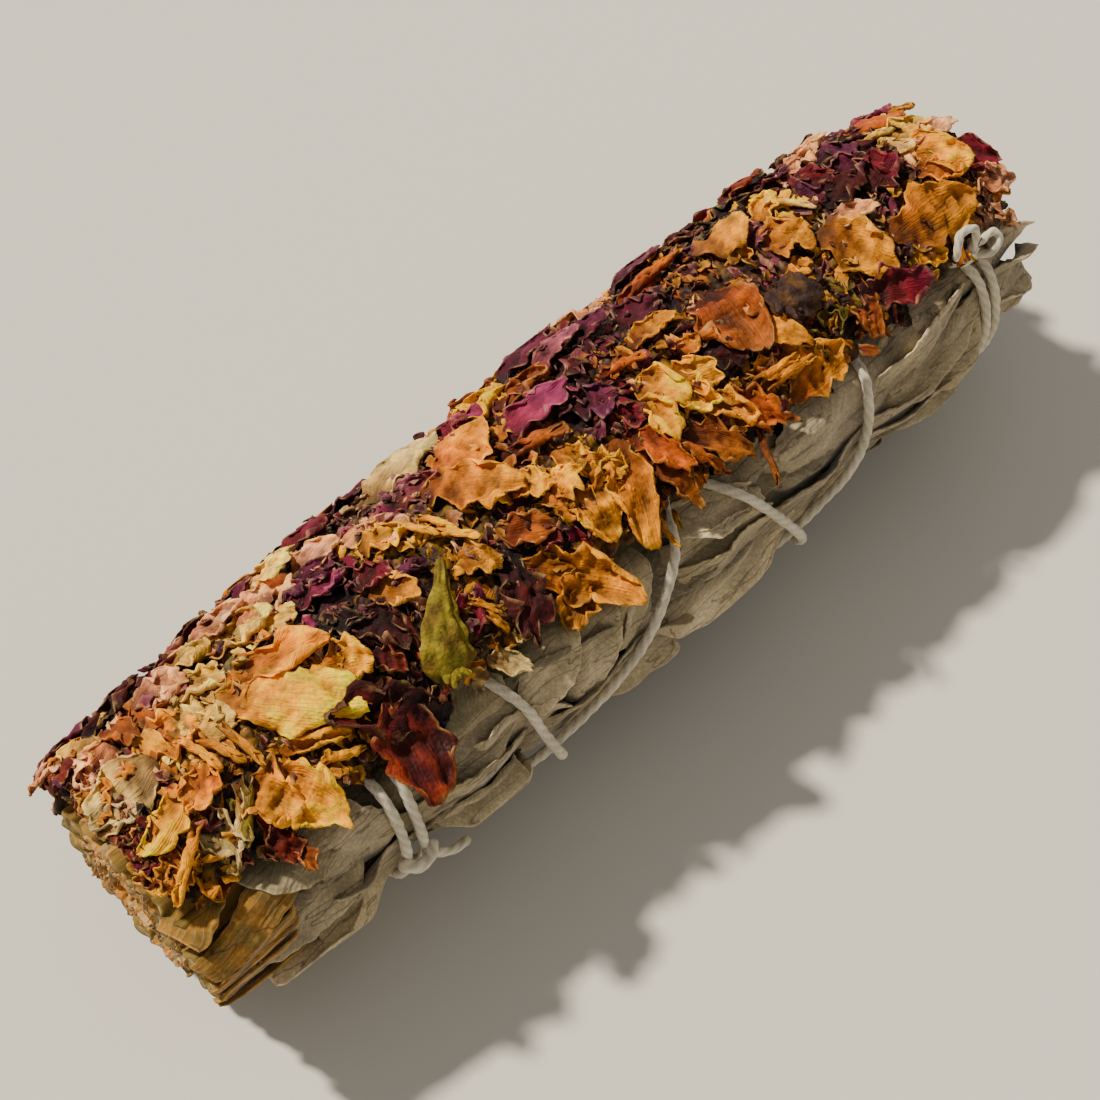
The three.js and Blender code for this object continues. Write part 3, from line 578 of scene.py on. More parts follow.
class BUNDLE_OT_stems(bpy.types.Operator):
    """Make the square sage stems with their bark and cut ends"""

    bl_idname = "sage_bundle.stems"
    bl_label = "Make the stems"

    def execute(self, context):
        sage = context.scene.bundle_sage
        bark = stem_material()
        number = 0
        for fold, stems in enumerate(STEMS):
            for offset_turn, deeper in stems:
                number += 1
                name = f"sage_stem_{number}"
                piece = Surfaces()
                stations = np.concatenate([CUT_RINGS, np.linspace(0.012, 1, PLAIN_RINGS)])
                rings, x, angle = stem_rings(fold, offset_turn, deeper, stations)
                middle = rings.mean(axis=1, keepdims=True)
                rings = middle + (rings - middle) * stem_values([0.35, 0.7, 0.93], 1)[..., None]
                rings[:2, :, 0] += np.array([0.55, 0.3])[:, None]
                cut = stem_values([1, 1, 0.7], 0)[..., None]
                rng = np.random.default_rng(number)
                stripes = 1 + 0.15 * np.sin(angle * 3 + x * 0.2)
                tone = np.array(sage.stem) * rng.uniform(0.75, 1.25) * stripes[..., None]
                ring_wood = np.array(sage.pith) * stem_values([1.0, 0.72, 0.5], 0.5)[..., None]
                tint = tone * (1 - cut) + ring_wood * cut
                flow = np.stack(np.broadcast_arrays(x, angle, 0 * x), axis=-1)
                outward_loft(piece, rings, tint, flow, end_bulge=-0.2)
                piece.write(f"stem_{number}", bark, name)
        return {"FINISHED"}


# Sage leaves

# The leaves that show beside the petals: x, turn, heading, length, width, how far in, how much their
# edges curl, and how far their faces lean from grey, 0, to pale, 1
SHOWN_LEAVES = [
    [-67, 58, 40, 25, 15, -0.1, 0.15, 0.75],
    [-72, 51, 205, 17, 8, 0.5, 0.1, 0.6],
    [-73, 74, 160, 22, 10, 1.0, 0.3, 0.4],
    [-62, 88, 4, 22, 9, 0.5, 0.9, 0.5],
    [-63, 101, 186, 22, 9, 1.0, 1.1, 0.8],
    [-73, 108, 183, 20, 6, 0.8, 1.1, 0.9],
    [-45, 62, -8, 26, 16, 0.7, 0.1, 0.5],
    [-39, 52, 10, 14, 10, 0.0, 0.2, 0.8],
    [-46, 80, 8, 28, 11, 0.3, 0.3, 0.45],
    [-44, 91, 2, 18, 3.2, -0.5, 1.6, 1.0],
    [-43, 98, 4, 20, 3.5, -0.3, 1.6, 1.0],
    [-34, 76, 20, 20, 9, 0.4, 0.3, 0.5],
    [-25.5, 61, 134, 18, 8, -0.1, 0.3, 0.95],
    [-18, 68, 118, 20, 9, 0.0, 0.3, 0.85],
    [-9, 62, 125, 18, 8, 0.4, 0.3, 0.7],
    [-8, 78, 100, 16, 8, 0.7, 0.2, 0.5],
    [-15, 92, 0, 32, 8, 0.0, 0.5, 0.9],
    [-18, 101, 4, 34, 8, 0.6, 0.6, 0.6],
    [8, 46, 15, 18, 4, 0.0, 0.9, 0.6],
    [10, 51.5, 18, 18, 4.5, 0.2, 0.9, 0.7],
    [11, 58, 20, 20, 5, 0.0, 1.0, 0.6],
    [10, 67, 20, 24, 7, 0.2, 0.7, 0.5],
    [12, 78, 12, 28, 8, 0.3, 0.5, 0.6],
    [10, 90, 2, 34, 8, 0.4, 0.8, 0.8],
    [24, 99, 4, 34, 7, 0.3, 1.0, 0.7],
    [20, 56, -20, 16, 8, 1.3, 0.3, 0.4],
    [42, 66, 0, 42, 20, 0.2, 0.1, 0.25],
    [40, 86, -3, 44, 11, 0.4, 0.3, 0.35],
    [50, 96, 2, 40, 10, 0.6, 0.4, 0.3],
    [60, 52, -10, 24, 6, 0.1, 0.8, 0.7],
    [58, 62, -8, 28, 6.5, 0.0, 0.8, 0.65],
    [60, 73, -5, 28, 7, 0.2, 0.7, 0.5],
    [65, 49, -32, 18, 9, -0.1, 0.2, 0.6],
    [67, 77, -26, 22, 8, -0.4, 1.8, 0.9],
    [62, 86, -4, 30, 8, 0.3, 0.6, 0.4],
    [79, 57, 6, 22, 9, 0.2, 0.6, 0.35],
    [78, 70, 4, 24, 8, 0.2, 0.8, 0.4],
    [78, 84, 8, 24, 9, 0.2, 0.5, 0.5],
    [76, 97, 6, 28, 10, 0.6, 0.4, 0.35],
    [82, 47, -4, 16, 6, 0.5, 1.2, 0.8],
]
# The broad dry strips over the stems at the cut end, given in the same way
END_STRIPS = [
    [-84.5, 41, 154, 14, 5.8, 0.0, 0.1, 0.6],
    [-82, 61, 161, 19, 6.2, -0.2, 0.1, 0.4],
    [-82.5, 77.5, 168, 18, 4.2, 0.3, 0.1, 0.5],
    [-83, 88, 172, 17, 4.2, 0.2, 0.1, 0.3],
    [-82, 99, 175, 18, 4.4, 0.5, 0.3, 0.5],
]
# The leaves that the bundle rests on, pressed flat: x of their middle and their length
RESTING_LEAVES = [[-25, 15], [1, 28], [54, 26]]
RESTING_WIDTH = 15.0
UNDER_FOLD = 2
# The leaves placed by rule in each fold: how many, how far in and how much they curl. The upper and top
# ones are made only in the folds that have no listed leaves. Then each kind's rows and columns of points.
DEEP_LEAVES = (12, 2.1, 0.45)
UPPER_LEAVES = (9, 1.0, 0.2)
TOP_LEAVES = (8, 0.1, 0.5)
DEEP_GRID = (33, 15)
UPPER_GRID = (41, 17)
TOP_GRID = (45, 17)
SHOWN_GRID = (49, 19)
# The layers at each end: how many in a fold, and how far out the innermost and the outermost lie
CUT_LAYERS = 26
TIP_LAYERS = 14
INNERMOST_LAYER = 3.0
OUTERMOST_LAYER = 17.0
LAYER_STATIONS = [0, 0.5, 0.8, 0.93, 1]
LAYER_COLUMNS = 41
LAYER_THICKNESS = 0.4
# The golden brown of dried leaf and bark at the cut end, as a share of the bark's colour
GOLDEN = np.array([2.0, 1.6, 1.1])
GOLDEN_LAYERS = np.array([2.2, 1.7, 1.1])


def leaf_outline(s):
    """A sage leaf's half width along it, 1 at the widest: a long oval that narrows to a blunt tip"""
    return 0.12 + 0.88 * np.sin(np.pi * np.clip(0.05 + 0.93 * s, 0, 1)) ** 0.62


def leaf_sheets(rng, leaves, rows, columns, blunt=0.0):
    """Long thin leaves pressed round the bundle. Across a leaf its height slopes like a shingle's: one side
    tucks under, and the other lies free and rises where it curls. Waves and sharp pleats run along it, its
    midrib is a fine furrow, and it sinks in at its base. Blunt is 0 for a leaf's oval and nears 1 for a
    strip with parallel sides."""
    x, turn, heading, length, width, level, curl, paleness = leaves.T[:, :, None, None]
    number = len(leaves)
    s, v = sheet_grid(number, rows, columns)
    s, v = 0.5 - 0.5 * np.cos(np.pi * s), np.sin(np.pi / 2 * v)
    along = (s - 0.5) * length
    crenate = 1 + 0.035 * np.sin(s * length * 2.4 + drawn(rng, number, 0, 6)) * np.abs(v) ** 6
    bow = 0.05 * length * drawn(rng, number) * np.sin(np.pi * s)
    outline = leaf_outline(s) * (1 - blunt) + blunt * (1 - 0.1 * s)
    w = v * width / 2 * outline * crenate + bow
    w = w + 0.05 * width * waves(rng, number, along, v * 0, 11, 2) * np.abs(v)
    spot_x, spot_turn = offset(x, turn, heading, along, w)
    free = smooth(away_from_string(spot_x, spot_turn), 1.5, 9)
    steady = (0.3 + 0.7 * free) * (1 - 0.6 * blunt)
    crease = 0.26 * waves(rng, number, along * 0.5, w, 5.5, 3)
    crease = crease + 0.14 * waves(rng, number, along * 0.7, w, 2.2, 3)
    pleat = 0.7 * (creases(rng, number, along * 0.22, w, 7, 2) - 0.5)
    side = np.where(drawn(rng, number) > 0, 1, -1)
    dip = np.where(v * side < 0, -0.5, 0.2) * np.abs(v) ** 3.5
    lift = curl * 2.2 * smooth(v * side, 0.35, 1) * smooth(s, 0.1, 0.4)
    midrib = -0.22 * np.exp(-((v * width / 2 / 0.45) ** 2)) * smooth(s, 0, 0.1)
    shingled = 1.25 * side * v * np.minimum(1, width / 9)
    height = (crease + pleat + shingled) * steady + dip + lift * steady + midrib
    radius = leaf_reach(spot_x, spot_turn) - level * 0.85 - 0.25 + height
    sunk = 2.6 * (1 - smooth(s, 0.0, 0.16))
    radius = radius - sunk - 0.6 * smooth(s, 0.93, 1)
    near = smooth(away_from_string(spot_x, spot_turn), 0.8, 4)
    ceiling = pressed_reach(spot_x, spot_turn) + 0.05 + 3.5 * near
    radius = np.minimum(radius, ceiling)
    middle = place(spot_x, spot_turn, radius)
    middle[..., 2] = np.maximum(middle[..., 2], LOWEST_LEAF)
    # How high each place stands, which the tints turn into painted light on crests and painted shade in
    # hollows
    crest = np.clip(0.55 + (height - dip) * 0.34, 0, 1)
    return middle, leaf_edge(s, v), s, v, crest, paleness


def leaf_edge(s, v):
    """1 along a leaf's thin outer edge and at its tip"""
    return np.maximum(np.abs(v) ** 10, smooth(s, 0.97, 1))


def leaf_tints(sage, rng, s, v, crest, paleness, edge):
    """Grey to pale by leaf, greener in bands, paler at the midrib and at the thin edge, with painted light on
    the crests and painted shade near both sides
    """
    number = len(s)
    pale, grey, green = (np.array(colour) for colour in (sage.pale, sage.grey, sage.green))
    # Each leaf's own paleness, made paler on the crests as painted light
    mix = paleness + 0.3 * (crest - 0.5) + 0.18 * waves(rng, number, s * 5, v * 2, 3, 3)
    mix = np.clip(mix, 0, 1)[..., None]
    tint = grey * (1 - mix) + pale * mix
    greenness = 0.35 + 0.5 * drawn(rng, number) + 0.3 * waves(rng, number, s * 6, v, 4, 2)
    greenness = 0.55 * np.clip(greenness, 0, 1)[..., None]
    tint = tint * (1 - greenness) + green * greenness
    rib = np.exp(-((v / 0.06) ** 2)) * 0.25
    shaded_side = smooth(np.abs(v), 0.7, 0.95) * (1 - edge)
    # The midrib's and the edge's own paleness and each leaf's own tone, with painted light on the crests and
    # painted shade near both sides
    tone_and_painted_light = 0.5 + 0.84 * crest + rib + 0.2 * edge - 0.4 * shaded_side
    tone_and_painted_light = tone_and_painted_light * drawn(rng, number, 0.78, 1.18)
    return tint * tone_and_painted_light[..., None]


def fold_core(piece, sage, fold):
    """The folded mass under a fold's leaves: a wedge from the centre line out to just under them, coloured
    with painted shade in near black, with long pleats over its outer side"""
    rows, columns = CORE_GRID
    x = np.linspace(CORE_FROM + 1.8 * np.sin(fold * 2.3), CORE_TO, rows)[:, None]
    u = np.linspace(-1, 1, columns)[None, :]
    middle = fold_middle(fold, x)
    half_turn = FOLD_TURN / 2 * CORE_SHARE
    turn = middle + u * half_turn
    bare = bare_stems(x, turn)
    pleats = 0.35 * np.sin(turn * 0.9 + 0.05 * x) + 0.25 * np.sin(turn * 2.1 - 0.03 * x + fold)
    under_stems = pressed_reach(x, turn) - CORE_UNDER_STEMS
    under_leaves = leaf_reach(x, turn) - CORE_BACK - GAP
    radius = under_stems * bare + under_leaves * (1 - bare) + pleats - 3.5 * smooth(x, 74, 84)
    outer = place(x, turn, radius)
    side_steps = np.array([0.75, 0.5, 0.25])[None, :]
    left = place(x, middle + half_turn, radius[:, -1:] * side_steps)
    right = place(x, middle - half_turn, radius[:, :1] * side_steps[:, ::-1])
    centre = place(x, middle, np.full_like(x, 1.2))
    rings = np.concatenate([outer, left, centre, right], axis=1)
    # Painted shade: the whole mass takes the near-black inside colour
    tint = np.array(sage.inside) * np.ones(rings.shape)
    outward_loft(piece, rings, tint, np.zeros(rings.shape), end_bulge=0.6)


def end_layers(piece, sage, fold, rng):
    """The leaves' layers that show at both ends: thin strips round the bundle at many depths, cut across
    and golden brown at the stems' end, and running out in ragged points at the other"""
    for end in (-1, 1):
        number = CUT_LAYERS if end < 0 else TIP_LAYERS
        depths = np.linspace(INNERMOST_LAYER, OUTERMOST_LAYER, number) - (1.4 if end > 0 else 0)
        depths = (depths + rng.uniform(-0.5, 0.5, number))[:, None, None]
        s, v = sheet_grid(number, len(LAYER_STATIONS), LAYER_COLUMNS, LAYER_STATIONS)
        middle_turn = fold_middle(fold, end * HALF_LENGTH) + drawn(rng, number, -22, 22)
        span = drawn(rng, number, 130, 330) / np.maximum(depths, 5)
        turn = middle_turn + v * span
        folded = drawn(rng, number, 0.1, 0.5)
        folded = folded * np.sin(v * drawn(rng, number, 3, 7) + drawn(rng, number, 0, 6))
        depth = depths + folded + 0.15 * waves(rng, number, s * 3, v * 3, 1, 3)
        if end < 0:
            ragged = 0.9 * creases(rng, number, v * span * depths / 57, v * 0, 2.2, 4)
            x = -(76 + (13.6 + drawn(rng, number, -2.4, 0.7) + ragged) * s)
            depth = depth - 5.0 * bare_stems(x, turn) * smooth(depth, 12, 16)
        else:
            points = 1.8 * np.abs(np.sin(v * 4 + drawn(rng, number, 0, 6)))
            reach = 11.5 + drawn(rng, number, -3.5, 1.8) - points - 3 * np.abs(v) ** 3
            x = 78 + reach * s
            depth = depth - (pressed_reach(70, turn) - pressed_reach(x, turn)) * 0.5
        strip = place(x, turn, depth)
        if end < 0:
            strip = strip[:, :, ::-1]
        edge = smooth(s, 0.9, 1)
        paleness = np.clip(0.5 + 0.4 * drawn(rng, number), 0, 1)
        tint = leaf_tints(sage, rng, s, v * 0.6, 0.5 + 0 * s, paleness, edge)
        golden = np.clip(0.5 + 0.8 * waves(rng, number, v * 9, s * 2, 4, 3), 0, 1)[..., None] * (end < 0)
        tint = tint * (1 - golden) + np.array(sage.stem) * GOLDEN_LAYERS * golden
        tint = tint * ([0.95, 0.8, 0.5] if end < 0 else [1.0, 0.95, 0.85])
        # Painted shade, darker further in from the ends, uneven in streaks
        shade = (0.35 + 0.65 * smooth(s, 0.3, 1)) * (1 + 0.4 * waves(rng, number, v * 14, s * 2, 3, 3))
        flow = np.stack([s, v, 0 * s], axis=-1)
        add_shells(piece, strip, LAYER_THICKNESS, tint * shade[..., None], edge, flow)


class BUNDLE_OT_leaves(bpy.types.Operator):
    """Make the sage leaves, fold by fold, with the mass under them and the layers at both ends"""

    bl_idname = "sage_bundle.leaves"
    bl_label = "Make the sage leaves"

    def execute(self, context):
        sage = context.scene.bundle_sage
        velvet = leaf_material()
        shown = np.array(SHOWN_LEAVES, dtype=float)
        for fold in range(FOLDS):
            rng = np.random.default_rng(400 + fold)
            piece = Surfaces()
            fold_core(piece, sage, fold)
            deep = self.by_rule(rng, fold, *DEEP_LEAVES)
            upper = self.by_rule(rng, fold, *UPPER_LEAVES)
            own = np.abs(wrapped(shown[:, 1] - fold_middle(fold, shown[:, 0]))) <= FOLD_TURN / 2
            if own.any():
                layers = [(deep, 0.4, DEEP_GRID), (shown[own], 1.0, SHOWN_GRID)]
            else:
                top = self.by_rule(rng, fold, *TOP_LEAVES)
                layers = [(deep, 0.5, DEEP_GRID), (upper, 0.85, UPPER_GRID), (top, 1.0, TOP_GRID)]
            # Each layer's leaves, the factor by which painted shade darkens the deeper layers, and their grid
            for leaves, light, grid in layers:
                middle, edge, s, v, crest, paleness = leaf_sheets(rng, leaves, *grid)
                tint = leaf_tints(sage, rng, s, v, crest, paleness, edge) * light
                flow = np.stack([s, v, paleness + 0 * s], axis=-1)
                add_shells(piece, middle, sage.thickness / MM, tint, edge, flow)
            if fold == UNDER_FOLD:
                self.resting(piece, sage, rng)
            if fold == 0:
                self.strips(piece, sage, rng)
            end_layers(piece, sage, fold, rng)
            name = f"sage_leaves_{fold + 1}"
            piece.write(f"leaves_{fold + 1}", velvet, name)
        return {"FINISHED"}

    def by_rule(self, rng, fold, number, level, curl):
        """Leaves spaced along a fold, each with a drawn place, heading and size"""
        x = np.linspace(-66, 74, number) + rng.uniform(-3, 3, number)
        side = np.where(np.arange(number) % 2, 1, -1)
        turn = fold_middle(fold, x) + side * rng.uniform(3, 17, number)
        heading = rng.uniform(-11, 11, number) + np.where(x < -40, 180, 0)
        length = rng.uniform(30, 46, number)
        width = rng.uniform(9, 15, number)
        level = level + rng.uniform(-0.3, 0.3, number)
        curls = curl * rng.uniform(0, 2, number) * (rng.uniform(0, 1, number) > 0.3)
        pale = rng.uniform(0.1, 0.9, number)
        bare = bare_stems(x - length / 2, turn)
        x = np.minimum(x + 12 * bare, 90 - length / 2)
        return np.stack([x, turn, heading, length, width, level, curls, pale], axis=1)

    def strips(self, piece, sage, rng):
        """The dry strips over the stems, in the bark's colour with golden brown blotches, with painted light
        on their crests and painted shade near their sides
        """
        strips = np.array(END_STRIPS)
        middle, edge, s, v, crest, paleness = leaf_sheets(rng, strips, *UPPER_GRID, blunt=0.8)
        blotch = np.clip(0.5 + 0.6 * waves(rng, len(s), s * 16, v * 3, 4, 4), 0, 1)[..., None]
        tint = np.array(sage.stem) * (1 - blotch + GOLDEN * blotch)
        # Painted light on the crests and painted shade near the sides, with the strips' own pale edge and
        # uneven tone
        tone_and_painted_light = 0.5 + 0.7 * crest + 0.4 * edge + 0.25 * waves(rng, len(s), s * 8, v * 6, 3, 4)
        tone_and_painted_light = tone_and_painted_light - 0.3 * smooth(np.abs(v), 0.6, 0.95) * (1 - edge)
        flow = np.stack([0.05 * s, 0.9 * v, paleness + 0 * s], axis=-1)
        add_shells(piece, middle, sage.thickness / MM, tint * tone_and_painted_light[..., None], edge, flow)

    def resting(self, piece, sage, rng):
        """The three leaves under the bundle, pressed flat on the surface that it rests on"""
        x, length = np.array(RESTING_LEAVES, dtype=float).T[:, :, None, None]
        number = len(RESTING_LEAVES)
        s, v = sheet_grid(number, *UPPER_GRID)
        half = RESTING_WIDTH / 2 * (1 - 0.5 * smooth(s, 0.8, 1.0))
        spot_x, spot_turn = offset(x, 180.0, 0.0, (s - 0.5) * length, v * half)
        root = leaf_reach(spot_x, spot_turn) - CORE_BACK - 1
        radius = root + (AXIS_HEIGHT + 1.2 - root) * smooth(s, 0, 0.28)
        middle = place(spot_x, spot_turn, radius)
        lowest = 0.3 + 0.12 * (1 + waves(rng, number, s * 20, v * 7, 5, 3))
        middle[..., 2] = np.maximum(middle[..., 2], lowest)
        edge = leaf_edge(s, v)
        tint = leaf_tints(sage, rng, s, v, 0.5 + 0 * s, 0.5 + 0 * x, edge)
        flow = np.stack([s, v, 0 * s], axis=-1)
        add_shells(piece, middle, sage.thickness / MM, tint, edge, flow)


# String

# The knots' and the bow's strands, as places given by x, turn and height above the leaves' reach
BOW = [
    [[73.6, 46, 1.4], [71.2, 43, 4], [71, 39, 6], [72.8, 34, 7], [75.8, 36, 7], [75.6, 42, 5], [74.6, 45, 3]],
    [[74.8, 46, 3], [77, 43, 5.2], [79.8, 43, 6], [80.2, 47, 5.2], [77.6, 49.5, 3.6], [75.6, 47.5, 2.6]],
]
KNOTS = [
    [[71, 43, 2], [73, 45.5, 3.2], [75.2, 46.5, 3], [76.4, 43.5, 1.6]],
    [[-59.2, 88, 1.4], [-57.4, 91, 3], [-55, 92, 3], [-52.8, 90, 1.4]],
]
STEM_TAIL = [[-55, 91, 1.8], [-52.6, 96, 3.2], [-50.4, 99, 3.8], [-47.8, 100, 3.8]]
# The strands' thickness beside the string's own: slack in the bow and the tail, doubled up in a knot
BOW_SHARE = 0.85
KNOT_SHARE = 1.25
TAIL_SHARE = 0.9
ROPE_SIDES = 18
STRAND_SPACING = 0.35


def crossing_lift(x, turn, total):
    """How far a strand is lifted where it passes over another"""
    lift = np.zeros_like(x)
    for crossing_x, crossing_turn in CROSSINGS:
        apart = np.hypot(x - crossing_x, wrapped(turn - crossing_turn) * MM_PER_DEGREE)
        lift = np.maximum(lift, (2 * STRING_RADIUS + GAP) * (1 - smooth(apart, 3, 11)))
    return np.where(total < RETURN_FROM, 0, lift)


def string_places():
    """The string's centre line, its places along the track averaged over seven neighbours, and its turns"""
    x, total = TRACK.T
    turn = wrapped(total)
    radius = pressed_reach(x, turn) + STRING_RADIUS + GAP + crossing_lift(x, turn, total)
    points = place(x, turn, radius)
    points[:, 2] = np.maximum(points[:, 2], STRING_RADIUS + 0.2)
    kernel = np.ones(7) / 7
    padded = np.pad(points, ((3, 3), (0, 0)), mode="edge")
    return np.stack([np.convolve(column, kernel, mode="valid") for column in padded.T], axis=1), turn


def add_rope(piece, points, turn, radius, string):
    """Three plies twisted together: a section with three lobes that turns as it goes along the points,
    a little uneven, with blunt ends"""
    steps = np.linalg.norm(np.diff(points, axis=0), axis=1)
    run = np.concatenate([[0], np.cumsum(steps)])
    ahead = unit(np.gradient(points, axis=0))
    out = outward(turn)
    out = unit(out - ahead * (out * ahead).sum(axis=1, keepdims=True))
    side = np.cross(ahead, out)
    angle = np.linspace(0, 2 * np.pi, ROPE_SIDES, endpoint=False)[None, :]
    twist = angle - 2 * np.pi * run[:, None] * MM / string.pitch
    crowns = np.abs(np.cos(1.5 * twist)) ** 0.7
    lobes = 0.74 + 0.26 * crowns
    uneven = 1 + 0.05 * np.sin(run * 0.9)[:, None] + 0.03 * np.sin(run * 2.3 + 1)[:, None]
    ends = np.sqrt(np.clip(np.minimum(run, run[-1] - run) / 0.8 + 0.25, 0, 1))[:, None]
    arm = (radius * lobes * uneven * ends)[..., None]
    towards = side[:, None] * np.cos(angle)[..., None] + out[:, None] * np.sin(angle)[..., None]
    # Painted shade in the grooves between the plies, with a slow change of tone along the string
    shade = 1 - 0.45 * (1 - crowns) + 0.08 * np.sin(run * 0.5)[:, None]
    flow = np.stack(np.broadcast_arrays(run[:, None], twist, 0 * twist), axis=-1)
    outward_loft(piece, points[:, None] + arm * towards, np.array(string.cotton) * shade[..., None], flow)


def strand(points):
    """A short strand's places through points given as x, turn and height above the leaves' reach"""
    x, turn, height = np.array(points, dtype=float).T
    curve = spline(place(x, turn, pressed_reach(x, turn) + height), STRAND_SPACING)
    return curve, np.interp(np.linspace(0, 1, len(curve)), np.linspace(0, 1, len(turn)), turn)


class BUNDLE_OT_string(bpy.types.Operator):
    """Make the cotton string with its knot, its two loops and its short tails"""

    bl_idname = "sage_bundle.string"
    bl_label = "Make the string"

    def execute(self, context):
        string = context.scene.bundle_string
        piece = Surfaces()
        points, turn = string_places()
        add_rope(piece, points, turn, STRING_RADIUS, string)
        for points in BOW:
            add_rope(piece, *strand(points), STRING_RADIUS * BOW_SHARE, string)
        for points in KNOTS:
            add_rope(piece, *strand(points), STRING_RADIUS * KNOT_SHARE, string)
        add_rope(piece, *strand(STEM_TAIL), STRING_RADIUS * TAIL_SHARE, string)
        piece.write("string", cotton_material(), "cotton_string")
        return {"FINISHED"}


# Petals

